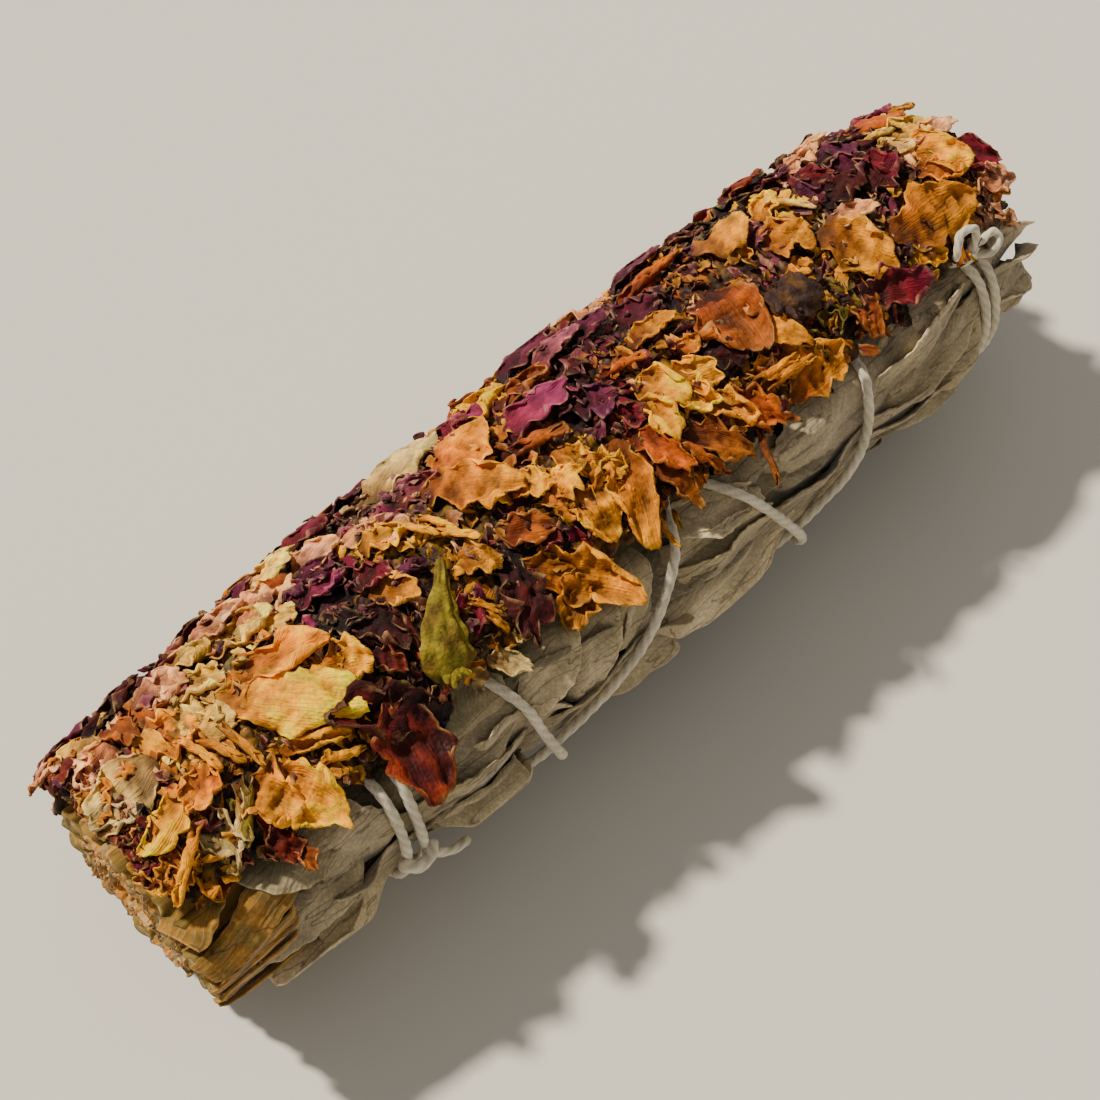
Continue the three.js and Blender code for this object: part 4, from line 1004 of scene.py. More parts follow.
# Each petal: x and turn of its middle, the heading of its tip, length, width, tilt in degrees, tone, and
# its way of drying: f flat, c cupped, r rolled, d domed, j jagged and crushed
PETALS = [
    # the cut end
    [-88, -50, 20, 9, 6, 10, "blush", "j"],
    [-84, -42, 150, 8, 6, 10, "cream", "j"],
    [-84, -25, 150, 9, 7, 8, "blush", "j"],
    [-88, -35, 100, 5, 4, 16, "purple", "c"],
    [-78, -33, 80, 9, 5, 12, "terracotta", "c"],
    [-74, -15, 20, 9, 7, 12, "peach", "j"],
    [-84, -9, 172, 13, 8.5, 4, "sage", "f"],
    [-87, -2, 10, 7, 4, 8, "sage", "c"],
    [-86, -14, 120, 4, 3, 18, "blush", "j"],
    [-82, -16, 60, 4, 3, 18, "peach", "j"],
    [-86, 4, 150, 5, 3, 10, "dark", "j"],
    [-73, -2, 80, 9, 3, 20, "tan", "r"],
    [-70.5, 2, 70, 9, 3, 22, "amber", "r"],
    [-68, 6, 85, 9, 3, 20, "tan", "r"],
    [-69, -8, 30, 8, 7, 14, "cream", "d"],
    [-71, -14, 0, 6, 5, 14, "cream", "d"],
    [-76, 9, 160, 9, 5, 14, "peach", "c"],
    [-82.5, 11, 165, 12, 4.5, 10, "yellow", "f"],
    [-88, 16, 160, 4, 4, 18, "crimson", "c"],
    [-83.5, 25, 150, 13, 3.6, 12, "gold", "r"],
    [-86.5, 24, 150, 6, 3, 12, "amber", "j"],
    [-73, 24, 134, 10, 3, 10, "olive", "r"],
    [-75.5, 27, 134, 11, 2.6, 8, "sage", "r"],
    [-70, 28, 60, 9, 8, 10, "tan", "j"],
    [-72, 41, 110, 6, 4.5, 12, "rust", "j"],
    [-71, 48, 110, 4, 3, 10, "terracotta", "j"],
    [-65.5, 35, 60, 10.5, 9.5, 16, "gold", "f"],
    [-76, -52, 0, 13, 5, 10, "maroon", "j"],
    [-68, -50, 0, 13, 5, 10, "crimson", "j"],
    [-62, -58, 0, 13, 5, 10, "maroon", "j"],
    [-84, -64, 10, 12, 6, 8, "plum", "j"],
    [-70, -34, 20, 9, 6, 10, "blush", "j"],
    [-64, -38, 10, 9, 6, 12, "cream", "j"],
    [-66, -24, 30, 9, 6, 12, "cream", "c"],
    # beside the cut end
    [-57, -8, 21, 18, 6, 14, "peach", "c"],
    [-58.5, 7, 40, 21, 10, 10, "yellow", "d"],
    [-49, 9, 30, 7, 6, 16, "gold", "j"],
    [-46, -3, 40, 7, 4, 12, "dark", "j"],
    [-42, 8, 60, 9, 8, 12, "maroon", "c"],
    [-44.5, 18, 60, 5, 4, 14, "rust", "c"],
    [-49.5, 30, 214, 20, 7, 22, "maroon", "j"],
    [-50, 44, 110, 14, 11, 6, "rust", "f"],
    [-60, 22, 20, 10, 4, 12, "gold", "r"],
    [-59, 31, 20, 9, 3, 10, "gold", "r"],
    [-44, -18, 10, 9, 4, 14, "magenta", "c"],
    [-43, -26, 10, 8, 5, 12, "purple", "j"],
    [-56, -30, 15, 12, 7, 12, "cream", "j"],
    [-50, -34, 10, 11, 7, 14, "blush", "j"],
    [-46, -44, 20, 11, 7, 12, "cream", "j"],
    [-57, -44, 10, 11, 6, 10, "blush", "j"],
    [-40, -34, 0, 9, 6, 14, "blush", "c"],
    [-52, -24, 30, 8, 6, 12, "cream", "d"],
    [-52, -51, 0, 9, 4, 12, "plum", "j"],
    [-47, -28, 40, 6, 4, 16, "purple", "j"],
    [-38, -52, 10, 11, 6, 12, "crimson", "c"],
    [-34, -2, 10, 8, 4, 18, "purple", "r"],
    [-37, 2, 40, 8, 6, 14, "tan", "c"],
    [-38, -8, 20, 6, 5, 16, "crimson", "c"],
    # towards the middle
    [-17, -11, 40, 15, 8, 16, "amber", "f"],
    [-13, -25, -10, 13, 8, 18, "peach", "f"],
    [-20.5, -46, 3, 17, 8, 6, "sage", "f"],
    [-28, -12, 60, 8, 2.5, 22, "gold", "r"],
    [-25, -8, 70, 8, 2.5, 20, "yellow", "r"],
    [-32, -18, 20, 8, 5, 16, "yellow", "j"],
    [-25, 0, 50, 8, 2.5, 24, "gold", "r"],
    [-31, -20, 10, 8, 7, 14, "blush", "c"],
    [-22, -28, 10, 8, 6, 14, "mauve", "j"],
    [-16.5, 14, 30, 9, 5, 16, "terracotta", "c"],
    [-15, 20, 30, 5, 4, 18, "crimson", "c"],
    [-6.5, 25, 90, 9, 8, 12, "gold", "f"],
    [0, 28, 120, 16, 8, 14, "amber", "c"],
    [1, 45, 100, 5, 2, 14, "gold", "r"],
    [-14.5, 37, 40, 19, 7, 8, "amber", "f"],
    [-17, 42, 150, 9, 6, 6, "amber", "f"],
    [-24, 30, 120, 13, 6, 12, "maroon", "j"],
    [-29, 25, 60, 5, 2.5, 18, "tan", "r"],
    [-29, 30, 70, 5, 2.5, 18, "tan", "r"],
    [-25, 12, 30, 7, 5, 14, "tan", "j"],
    [-31, 44, 40, 6, 3.5, 6, "sage", "f"],
    [-1, -18, 5, 15, 6, 14, "magenta", "c"],
    [-5, -8, 20, 11, 4, 18, "terracotta", "r"],
    [-11, 4, 30, 7, 5, 16, "gold", "j"],
    [-7, 11, 0, 7, 4, 20, "gold", "j"],
    [-3, 6, 60, 7, 5, 16, "gold", "j"],
    [-10, 15, 90, 6, 4, 16, "amber", "j"],
    [-1, 14, 40, 7, 5, 14, "gold", "j"],
    [-5, -45, 0, 13, 8, 14, "yellow", "j"],
    [2, -33, 10, 11, 6, 16, "terracotta", "j"],
    [-12, -40, 10, 10, 6, 14, "crimson", "j"],
    # past the middle
    [11, -37, -5, 12, 6, 16, "mauve", "c"],
    [17, -34, 5, 9, 5, 14, "plum", "j"],
    [9, -54, 0, 13, 7, 14, "plum", "j"],
    [14, -9, 20, 8, 3, 16, "orange", "r"],
    [6, -6, 30, 8, 6, 16, "purple", "j"],
    [7, 4, 20, 8, 5, 16, "crimson", "j"],
    [22, -13, 10, 9, 4.5, 16, "amber", "c"],
    [24, 0, 0, 5, 3.5, 14, "peach", "c"],
    [15, 7, 60, 9, 8, 24, "yellow", "c"],
    [21, 11, 20, 8, 7, 22, "gold", "c"],
    [18, 16, 60, 9, 7, 24, "yellow", "c"],
    [12, 15, 100, 8, 6, 20, "gold", "c"],
    [8, 23, 70, 10, 5, 14, "orange", "j"],
    [12, 29, 60, 11, 4, 14, "terracotta", "r"],
    [16, 33, 50, 12, 5, 12, "bronze", "j"],
    [21, 26, 60, 10, 5, 14, "amber", "j"],
    [7, 35, 80, 9, 5, 12, "bronze", "c"],
    [25, 33, 60, 9, 5, 12, "orange", "j"],
    [32, 4, 100, 14, 13, 18, "terracotta", "f"],
    [27, 11, 40, 7, 5, 6, "maroon", "j"],
    [36, 17, 60, 11, 5, 20, "amber", "f"],
    [31, 26, 0, 10, 3, 18, "amber", "r"],
    [33, 31, 5, 11, 3.5, 16, "amber", "r"],
    [37.5, 37, -10, 13, 6.5, 12, "amber", "f"],
    [22, 47, 120, 9, 2.5, 8, "bronze", "r"],
    [31, -37, 0, 15, 5, 16, "orange", "r"],
    [33, -51, 10, 12, 7, 16, "purple", "c"],
    [24, -26, 10, 9, 6, 14, "plum", "j"],
    # towards the leaf tips
    [44, -28, 10, 11, 10, 16, "tan", "d"],
    [47.5, -18, 0, 5, 4, 16, "mauve", "c"],
    [50, -8, 20, 9, 8, 16, "amber", "j"],
    [54, -28, -20, 7, 5, 16, "yellow", "c"],
    [56, -20, 80, 9, 2.5, 18, "cream", "r"],
    [51, -42, 10, 9, 5, 16, "dark", "j"],
    [58, -55, 10, 10, 6, 16, "rust", "j"],
    [45, -62, 10, 9, 5, 14, "maroon", "c"],
    [59, -17, 40, 6, 5, 18, "purple", "j"],
    [61, 2, 20, 9, 4, 18, "blush", "c"],
    [57, 13, 60, 12, 10, 14, "tan", "f"],
    [72, 21, 5, 18, 8.5, 10, "amber", "f"],
    [67, 33, 30, 7, 3.5, 10, "yellow", "f"],
    [50, 33, 100, 8, 6, 10, "terracotta", "f"],
    [58, 33, 20, 13, 6.5, 14, "crimson", "c"],
    [82.5, -35, 20, 12, 8, 22, "orange", "d"],
    [77, -32, 40, 7, 6, 12, "plum", "c"],
    [87, -52, 10, 9, 7, 14, "magenta", "c"],
    [89, -38, 20, 6, 5, 14, "tan", "c"],
    [84, -18, 10, 10, 6.5, 20, "cream", "c"],
    [78, -24, 20, 8, 3, 18, "cream", "r"],
    [83, 3, 30, 11, 8.5, 18, "gold", "c"],
    [79, 10, 40, 8, 5, 20, "peach", "c"],
    [87, -8, 10, 8, 5, 18, "blush", "c"],
    [88, 13, 40, 9, 7, 16, "crimson", "c"],
    [88, 28, 20, 7, 5, 12, "blush", "c"],
    [63, -23, 60, 8, 6, 14, "crimson", "j"],
    [68, -16, 10, 9, 7, 14, "plum", "j"],
    [64, -9, 10, 9, 6, 14, "maroon", "j"],
    [71, -6, -10, 9, 7, 14, "crimson", "j"],
    [70, -27, 30, 8, 6, 14, "purple", "j"],
    [74, -16, 0, 8, 6, 14, "maroon", "j"],
    [66, -38, 10, 8, 6, 14, "blush", "j"],
    [71, -50, 10, 11, 7, 14, "blush", "c"],
    [61, -44, 30, 9, 6, 14, "plum", "j"],
    [48, 22, 60, 8, 5, 10, "olive", "j"],
]
# The petals of the far side: how many, how far apart along it, and the turns, tones and forms they take
FAR_NUMBER = 42
FAR_STEP = 4.1
FAR_TURNS = (-70, -84, -97)
FAR_TONES = ["crimson", "amber", "purple", "blush", "maroon", "terracotta", "gold", "plum"]
FAR_FORMS = "jccdf"
# The crushed petals that hang over the rim at the cut end
RIM_NUMBER = 30
RIM_STEP = 3.2
RIM_TONES = ["amber", "rust", "tan", "gold", "rust"]
# The tones of the small pieces that strayed among petals of other tones, crimson twice as often as the
# rest, and the share that did
STRAY_TONES = ["crimson", "magenta", "maroon", "mauve", "plum", "blush", "crimson"]
STRAY_SHARE = 0.24
FORMS = {
    # roll across in radians, curl at the tip, ruffle and crumple
    "f": (0.6, 0.9, 0.8, 1.0),
    "c": (1.2, 1.2, 1.0, 0.8),
    "r": (4.2, 0.4, 0.6, 0.6),
    "d": (-0.4, -0.3, 0.9, 0.65),
    "j": (0.8, 1.1, 1.4, 1.35),
}
# The small petals scattered over the bed: how many, how long, how far they lie above it, their steepest
# tilt in degrees and their seed. The fillers lie flatter, and the crumbs are strewn over all the rest.
FILLERS = (520, (4.5, 8.5), (-1.0, 0.3), 30, 31)
CRUMBS = (2300, (1.3, 3.6), (-0.3, 1.7), 62, 32)
SCATTERED_FORMS = "jjcr"
# Steps of the golden ratio's kind, whose multiples fill a range evenly
EVEN_STEP_X = 0.6180339887
EVEN_STEP_TURN = 0.7548776662
LARGE_GRID = (25, 21)
FILLER_GRID = (11, 9)
CRUMB_GRID = (5, 4)
# The petals are made in two rows of five patches: each row's turns, and how far its inner borders shift
PATCH_COLUMNS = 5
PATCH_SEAM = -32.0
PATCH_ROWS = [(PETALS_FROM, PATCH_SEAM, 7.0), (PATCH_SEAM, PETALS_TO, -5.0)]
PATCH_FROM = -88.0
PATCH_TO = 88.0
# How far a petal's root lies behind its middle, as a share of its length
ROOT_SHARE = 0.42
# Petals that rise higher than this above the bed are pressed down to a share of the rest
HIGHEST_FREE = 3.4
PRESSED_SHARE = 0.45
BED_GRID = (78, 66)
BED_SHEET = 0.9
# How much deeper than its listed tone a petal's colour is, and what its hue swings and fades to
PETAL_DEPTH = 1.16
WARM = np.array([1.12, 0.94, 0.74])
COOL = np.array([0.95, 0.9, 1.02])
AT_CLAW = np.array([0.86, 0.68, 0.6])
AT_TIP = np.array([1.1, 1.14, 1.1])
DRY_EDGE = "#E8C890"


def far_petals():
    """The far side, which hangs down to where the petals begin, in the same tones by rule"""
    rng = np.random.default_rng(77)
    rows = []
    for i in range(FAR_NUMBER):
        x = -85 + i * FAR_STEP + rng.uniform(-2, 2)
        turn = FAR_TURNS[i % len(FAR_TURNS)] + rng.uniform(-4, 4)
        heading = rng.uniform(200, 320)
        length, width = rng.uniform(9, 15), rng.uniform(7, 11)
        form = FAR_FORMS[int(rng.integers(len(FAR_FORMS)))]
        tone = FAR_TONES[i % len(FAR_TONES)]
        rows.append([x, turn, heading, length, width, rng.uniform(2, 12), tone, form])
    return rows


def end_crumbs():
    """Small crushed petals that hang over the rim at the cut end"""
    rng = np.random.default_rng(78)
    rows = []
    for i in range(RIM_NUMBER):
        x = -87.6 + rng.uniform(-1.0, 1.6)
        turn = -66 + i * RIM_STEP + rng.uniform(-1.5, 1.5)
        length, width = rng.uniform(3.5, 6.5), rng.uniform(2.5, 4.5)
        tone = RIM_TONES[int(rng.integers(len(RIM_TONES)))]
        rows.append([x, turn, rng.uniform(140, 220), length, width, rng.uniform(-40, 0), tone, "j"])
    return rows


def column_edge(row, column):
    """The x of the border before a column of patches"""
    edge = PATCH_FROM + (PATCH_TO - PATCH_FROM) * column / PATCH_COLUMNS
    return edge + (PATCH_ROWS[row][2] if 0 < column < PATCH_COLUMNS else 0)


def patch_of(x, turn):
    """The number of the patch that each place lies in"""
    row = (turn >= PATCH_ROWS[0][1]).astype(int)
    edges = np.array([[column_edge(r, c) for c in range(1, PATCH_COLUMNS)] for r in (0, 1)])
    return row * PATCH_COLUMNS + (x[:, None] > edges[row]).sum(axis=1)


def petal_outline(u):
    """A rose petal's half width along it: a narrow claw that widens to a broad shoulder near the tip"""
    return 0.38 + 0.62 * np.sin(np.pi * 0.79 * np.clip(u, 0, 1) ** 1.05) ** 0.9


def petal_sheets(rng, petals, rows, columns):
    """Dried petals. Each is a flat outline with a ragged edge, raised in sharp creases of three sizes and
    in waves along its edges, then rolled across and curled along by running sums of its slope, tilted up
    from its claw and laid on the bed of crushed petals."""
    x, turn, heading, length, width, tilt, roll, curl, ruffle, crumple, lift = petals.T[:, :, None, None]
    number = len(petals)
    u, v = sheet_grid(number, rows, columns)
    edge = np.maximum(np.abs(v), 2 * u - 1)
    s = length * (u - 0.3 * u * v**2 + 0.06 * (1 - u) * v**2)
    w = width / 2 * v * petal_outline(u)
    fray = np.abs(edge) ** 5
    size = np.sqrt(length * width)
    nick = 0.02 * waves(rng, number, u * 12, v * 12, 1.6, 3)
    s = s + size * fray * (0.03 * waves(rng, number, u * 0, v * 6, 2.4, 4) + nick) * smooth(u, 0.3, 0.9)
    w = w + size * fray * (0.028 * waves(rng, number, u * 8, v * 0.2, 2.8, 4) + nick)
    folds = creases(rng, number, s, w, 0.42 * size, 3) - 0.45
    bends = creases(rng, number, s, w, 3.4, 2) - 0.45
    fine = creases(rng, number, s, w, 1.5, 2) - 0.45
    crumpled = 0.13 * size * folds + 0.07 * size * bends + 0.3 * fine
    height = crumple * crumpled * (0.4 + 0.6 * smooth(u, 0, 0.3))
    wavy = np.sin(u * drawn(rng, number, 9, 15) + drawn(rng, number, 0, 6)) * np.sign(v) * np.abs(v) ** 2.5
    wavy = wavy + np.sin(v * drawn(rng, number, 5, 9) + drawn(rng, number, 0, 6)) * u**4
    height = height + ruffle * 0.075 * size * wavy
    bend = 2 * roll / width
    across_slope = w * bend * (0.55 + 0.45 * u) + 0.7 * curl * np.sign(w) * smooth(np.abs(v), 0.62, 1)
    w, height = bent(w, height, across_slope, 2, columns // 2)
    turned = smooth(u, 0.72, 1) * curl * drawn(rng, number, -0.2, 1.2)
    swell = 0.175 * ruffle * np.sin(u * 5 + drawn(rng, number, 0, 6))
    along_slope = np.radians(tilt) * (1 - 0.7 * u) + turned + swell
    s, height = bent(s, height, along_slope + 0 * s, 1, 0)
    lean = np.radians(drawn(rng, number, -14, 14))
    w, height = w * np.cos(lean) - height * np.sin(lean), w * np.sin(lean) + height * np.cos(lean)
    s = s - 0.5 * length
    spot_x, spot_turn = offset(x, turn, heading, s, w)
    bed_top = pressed_reach(spot_x, spot_turn) + BED_HEIGHT + 0.6
    lowest = np.quantile(height, 0.12, axis=(1, 2), keepdims=True)
    raised = height - lowest + lift
    raised = np.minimum(raised, HIGHEST_FREE + PRESSED_SHARE * (raised - HIGHEST_FREE))
    middle = place(spot_x, spot_turn, bed_top + raised)
    return middle, edge, u, v, 0.6 * folds + 0.4 * bends, height - lowest


def petal_tints(rng, colours, edge, u, v, folds, height):
    """A petal's tone, deeper in hue at its claw and paler at its thin dry edge, with painted light on its
    crests and painted shade in its folds, where it lies low and towards its claw
    """
    number = len(u)
    blotch = waves(rng, number, u * 5, v * 3, 3, 4)
    spots = waves(rng, number, u * 14, v * 8, 3, 4)
    # The petal's own blotches and spots, with painted light on the crests of its folds and painted shade in
    # them
    tone_and_painted_light = 0.6 + 0.85 * (folds + 0.45) + 0.18 * blotch + 0.16 * spots
    # Painted shade where the petal lies low and towards its claw
    tone_and_painted_light = 1.25 * tone_and_painted_light * (0.28 + 0.72 * smooth(height, -0.5, 2.2)) * (0.72 + 0.28 * smooth(u, 0, 0.5))
    colours = colours[:, None, None, :]
    tint = colours * tone_and_painted_light[..., None]
    swing = np.clip(0.5 + 0.5 * waves(rng, number, u * 3, v * 2, 4, 2), 0, 1)[..., None]
    tint = tint * (WARM * swing + COOL * (1 - swing))
    towards_tip = smooth(u, 0.1, 0.9)[..., None]
    tint = tint * (AT_CLAW * (1 - towards_tip) + AT_TIP * towards_tip)
    dry = 0.6 * (smooth(np.abs(edge), 0.86, 1.0) * np.clip(0.3 + 0.8 * spots, 0, 1))[..., None]
    pale = np.array(linear(DRY_EDGE)) * 0.5 + colours * 0.9
    tint = tint * (1 - dry) + pale * dry
    grey = tint.mean(axis=-1, keepdims=True)
    return np.clip(grey + PETAL_DEPTH * (tint - grey), 0.004, 1)


def add_bed(piece, row, column, tone_at):
    """The bed of crushed petals under a patch: a lumpy closed sheet with sharp little folds, darkened with
    painted shade, most in its hollows
    """
    begin, end, _ = PATCH_ROWS[row]
    rng = np.random.default_rng(row * 50 + column + 5)
    u, v = sheet_grid(1, *BED_GRID, across_from=0)
    low, high = column_edge(row, column), column_edge(row, column + 1)
    x = low + (high - low) * u
    turn = begin + (end - begin) * v
    inside = 1 - np.abs(2 * v - 1) ** 14
    ends = smooth(u, 0, 0.04) * (1 - smooth(u, 0.96, 1))
    across = turn * MM_PER_DEGREE
    margin = 2.2 * waves(rng, 1, x, across * 0, 9, 4) + 1.2 * waves(rng, 1, x, across * 0, 3, 3)
    turn = turn + np.where(row == 1, smooth(v, 0.7, 1), -(1 - smooth(v, 0, 0.3))) * margin * 1.6
    x = x + 1.2 * np.sin(turn * 0.21 + column) * (1 - inside * ends)
    lumps = 1.5 * creases(rng, 1, x, across, 6, 4) + 0.5 * creases(rng, 1, x, across, 1.8, 3)
    height = lumps * (0.25 + 0.75 * inside * ends) - 0.25
    radius = pressed_reach(x, turn) + BED_HEIGHT + BED_THICKNESS / 2 + height
    middle = place(x, turn, radius)
    tones = tone_at(x.ravel(), turn.ravel(), rng).reshape(*x.shape, 3)
    # Painted shade over the whole bed, deepest in its hollows
    shade = 0.06 + 0.42 * smooth(lumps, 0.5, 1.9)
    rim = np.zeros_like(x)
    add_shells(piece, middle, BED_SHEET, tones * shade[..., None], rim, np.stack([u, v, rim], axis=-1))


class BUNDLE_OT_petals(bpy.types.Operator):
    """Make the rose petals, patch by patch, on their bed of crushed petals"""

    bl_idname = "sage_bundle.petals"
    bl_label = "Make the rose petals"

    def execute(self, context):
        settings = context.scene.bundle_petals
        tones = {tone: np.array(getattr(settings, tone)) for tone in TONES}
        listed = PETALS + far_petals() + end_crumbs()
        numbers = np.array([one[:6] for one in listed], dtype=float)
        colours = np.array([tones[one[6]] for one in listed])
        strays = np.array([tones[tone] for tone in STRAY_TONES])
        forms = np.array([FORMS[one[7]] for one in listed])
        rng = np.random.default_rng(21)
        forms = forms * rng.uniform(0.75, 1.25, forms.shape)
        lift = rng.uniform(1.0, 1.9, (len(listed), 1))
        large = np.hstack([numbers, forms, lift])
        large_colours = colours * rng.uniform(0.85, 1.15, (len(listed), 1))

        def tone_at(x, turn, draw):
            """The tone of one of the four listed petals nearest to each place"""
            apart = np.hypot(x[:, None] - numbers[:, 0], (turn[:, None] - numbers[:, 1]) * MM_PER_DEGREE)
            nearest = np.argsort(apart, axis=1)[:, :4]
            pick = np.minimum(draw.geometric(0.5, len(x)) - 1, 3)
            near = colours[nearest[np.arange(len(x)), pick]]
            astray = (draw.uniform(0, 1, len(x)) < STRAY_SHARE)[:, None]
            return np.where(astray, strays[draw.integers(0, len(strays), len(x))], near)

        kinds = (
            (LARGE_GRID, large, large_colours),
            (FILLER_GRID, *self.scattered(tone_at, *FILLERS)),
            (CRUMB_GRID, *self.scattered(tone_at, *CRUMBS)),
        )
        dry = petal_material()
        thickness = settings.thickness / MM
        for patch in range(2 * PATCH_COLUMNS):
            piece = Surfaces()
            add_bed(piece, *divmod(patch, PATCH_COLUMNS), tone_at)
            rng = np.random.default_rng(500 + patch)
            for grid, petals, shades in kinds:
                own = self.patches(petals) == patch
                middle, edge, u, v, folds, height = petal_sheets(rng, petals[own], *grid)
                tint = petal_tints(rng, shades[own], edge, u, v, folds, height)
                rim = smooth(np.abs(edge), 0.88, 1.0)
                flow = np.stack([u, v, folds], axis=-1)
                add_shells(piece, middle, thickness, tint, rim, flow)
            name = f"rose_petals_{patch + 1}"
            piece.write(f"petals_{patch + 1}", dry, name)
        return {"FINISHED"}

    def patches(self, petals):
        """The patch of each petal, by the place of its root"""
        x, turn, heading, length = petals[:, :4].T
        return patch_of(*offset(x, turn, heading, -ROOT_SHARE * length, 0))

    def scattered(self, tone_at, number, sizes, lifts, steepest, seed):
        """Small crushed petals scattered evenly over the bed, each in the tone of its surroundings"""
        rng = np.random.default_rng(seed)
        order = np.arange(number)
        x = PATCH_FROM + 1 + (PATCH_TO - PATCH_FROM - 1) * (order * EVEN_STEP_X % 1)
        x = x + rng.uniform(-2, 2, number)
        low, high = PETALS_FROM + sizes[0], PETALS_TO + 3 - 1.8 * sizes[0]
        turn = low + (high - low) * (order * EVEN_STEP_TURN % 1) + rng.uniform(-4, 4, number)
        heading = rng.uniform(0, 360, number)
        length = rng.uniform(*sizes, number)
        width = length * rng.uniform(0.5, 0.95, number)
        tilt = rng.uniform(0, steepest, number)
        picks = rng.integers(0, len(SCATTERED_FORMS), number)
        form = np.array([FORMS[SCATTERED_FORMS[k]] for k in picks]).T
        roll, curl, ruffle, crumple = form * rng.uniform(0.6, 1.4, (4, number))
        lift = rng.uniform(*lifts, number)
        colours = tone_at(x, turn, rng) * rng.uniform(0.6, 1.25, (number, 1))
        petals = np.stack([x, turn, heading, length, width, tilt, roll, curl, ruffle, crumple, lift], axis=1)
        return petals, colours


# Calyxes

# Sections of each cup from its wide end to its neck: x, turn, height above the bed and half width
GREEN_CALYX = [
    [-39.8, 36, 1.0, 2.0], [-38.6, 31, 1.8, 3.7], [-36.8, 24, 2.2, 3.4],
    [-34.6, 17, 2.1, 2.3], [-31.8, 10, 2.2, 1.2], [-29.4, 4, 2.7, 0.7],
]  # fmt: skip
DARK_CALYX = [[38, 6, 1.6, 1.0], [40, 10, 2.2, 3.0], [43.5, 14, 2.6, 3.4], [46.5, 17, 1.8, 1.5]]
CUP_SIDES = 48
CUP_STEPS = 60
CUP_SPACING = 0.2
SEPAL_GRID = (17, 7)
SEPAL_THICKNESS = 0.35
GREEN_SEPALS = 5
GREEN_SEPAL_LENGTH = 2.6
DARK_SEPALS = 3
DARK_SEPAL_LENGTH = 3.5
SCRAPS = 20
SCRAP_GRID = (13, 11)
SCRAP_THICKNESS = 0.3
BROWN_BLOTCH = "#5A3C14"


def calyx_rings(points):
    """A bud's cup through sections given as x, turn, height and half width, flattened, with ribs"""
    x, turn, height, half = np.array(points, dtype=float).T
    knots = place(x, turn, pressed_reach(x, turn) + BED_HEIGHT + BED_THICKNESS + height)
    curve = spline(np.column_stack([knots, half, turn]), CUP_SPACING)
    even = np.linspace(0, len(curve) - 1, CUP_STEPS).astype(int)
    centre, half, turn = curve[even, :3], curve[even, 3], curve[even, 4]
    ahead = unit(np.gradient(centre, axis=0))
    out = outward(turn)
    side = unit(np.cross(out, ahead))
    angle = np.linspace(0, 2 * np.pi, CUP_SIDES, endpoint=False)[None, :]
    along = np.linspace(0, 1, CUP_STEPS)[:, None]
    lumps = 0.1 * np.sin(angle * 3 + along * 13) * np.sin(along * 17 - angle * 2)
    lumps = lumps + 0.05 * np.sin(angle * 7 - along * 29)
    ribs = 0.8 + 0.26 * np.abs(np.sin(3.5 * angle + 0.4)) + 0.03 * np.sin(angle * 11 + along * 9) + lumps
    wide = half[:, None] * ribs * np.cos(angle)
    high = (0.45 * half[:, None] + 0.3) * ribs * np.sin(angle)
    rings = centre[:, None] + side[:, None] * wide[..., None] + out[:, None] * high[..., None]
    return rings, along, angle, ribs


def add_sepals(piece, points, number, length, tone, rng):
    """Narrow pointed sepals that spread from the cup's wide end, curled back at their tips"""
    x, turn, height, _ = points[1]
    s, v = sheet_grid(number, *SEPAL_GRID)
    heading = np.linspace(70, 150, number)[:, None, None] + drawn(rng, number, -8, 8)
    along = s * length * drawn(rng, number, 0.8, 1.2)
    w = v * (0.1 + 1.5 * (1 - s) ** 0.8) * (1 + 0.2 * np.sin(s * 23 + drawn(rng, number, 0, 6)))
    spot_x, spot_turn = offset(x, turn, heading, along, w)
    rise = height + 0.6 + 0.4 * np.sin(s * 3) - 0.5 * v**2 + 0.8 * s**2
    radius = pressed_reach(spot_x, spot_turn) + BED_HEIGHT + BED_THICKNESS + rise
    middle = place(spot_x, spot_turn, radius)
    tint = np.array(tone) * (0.8 + 0.3 * s + 0.2 * np.exp(-((v / 0.2) ** 2)))[..., None]
    flow = np.stack([s, v, 0 * s], axis=-1)
    add_shells(piece, middle, SEPAL_THICKNESS, tint, smooth(np.abs(v), 0.7, 1), flow)


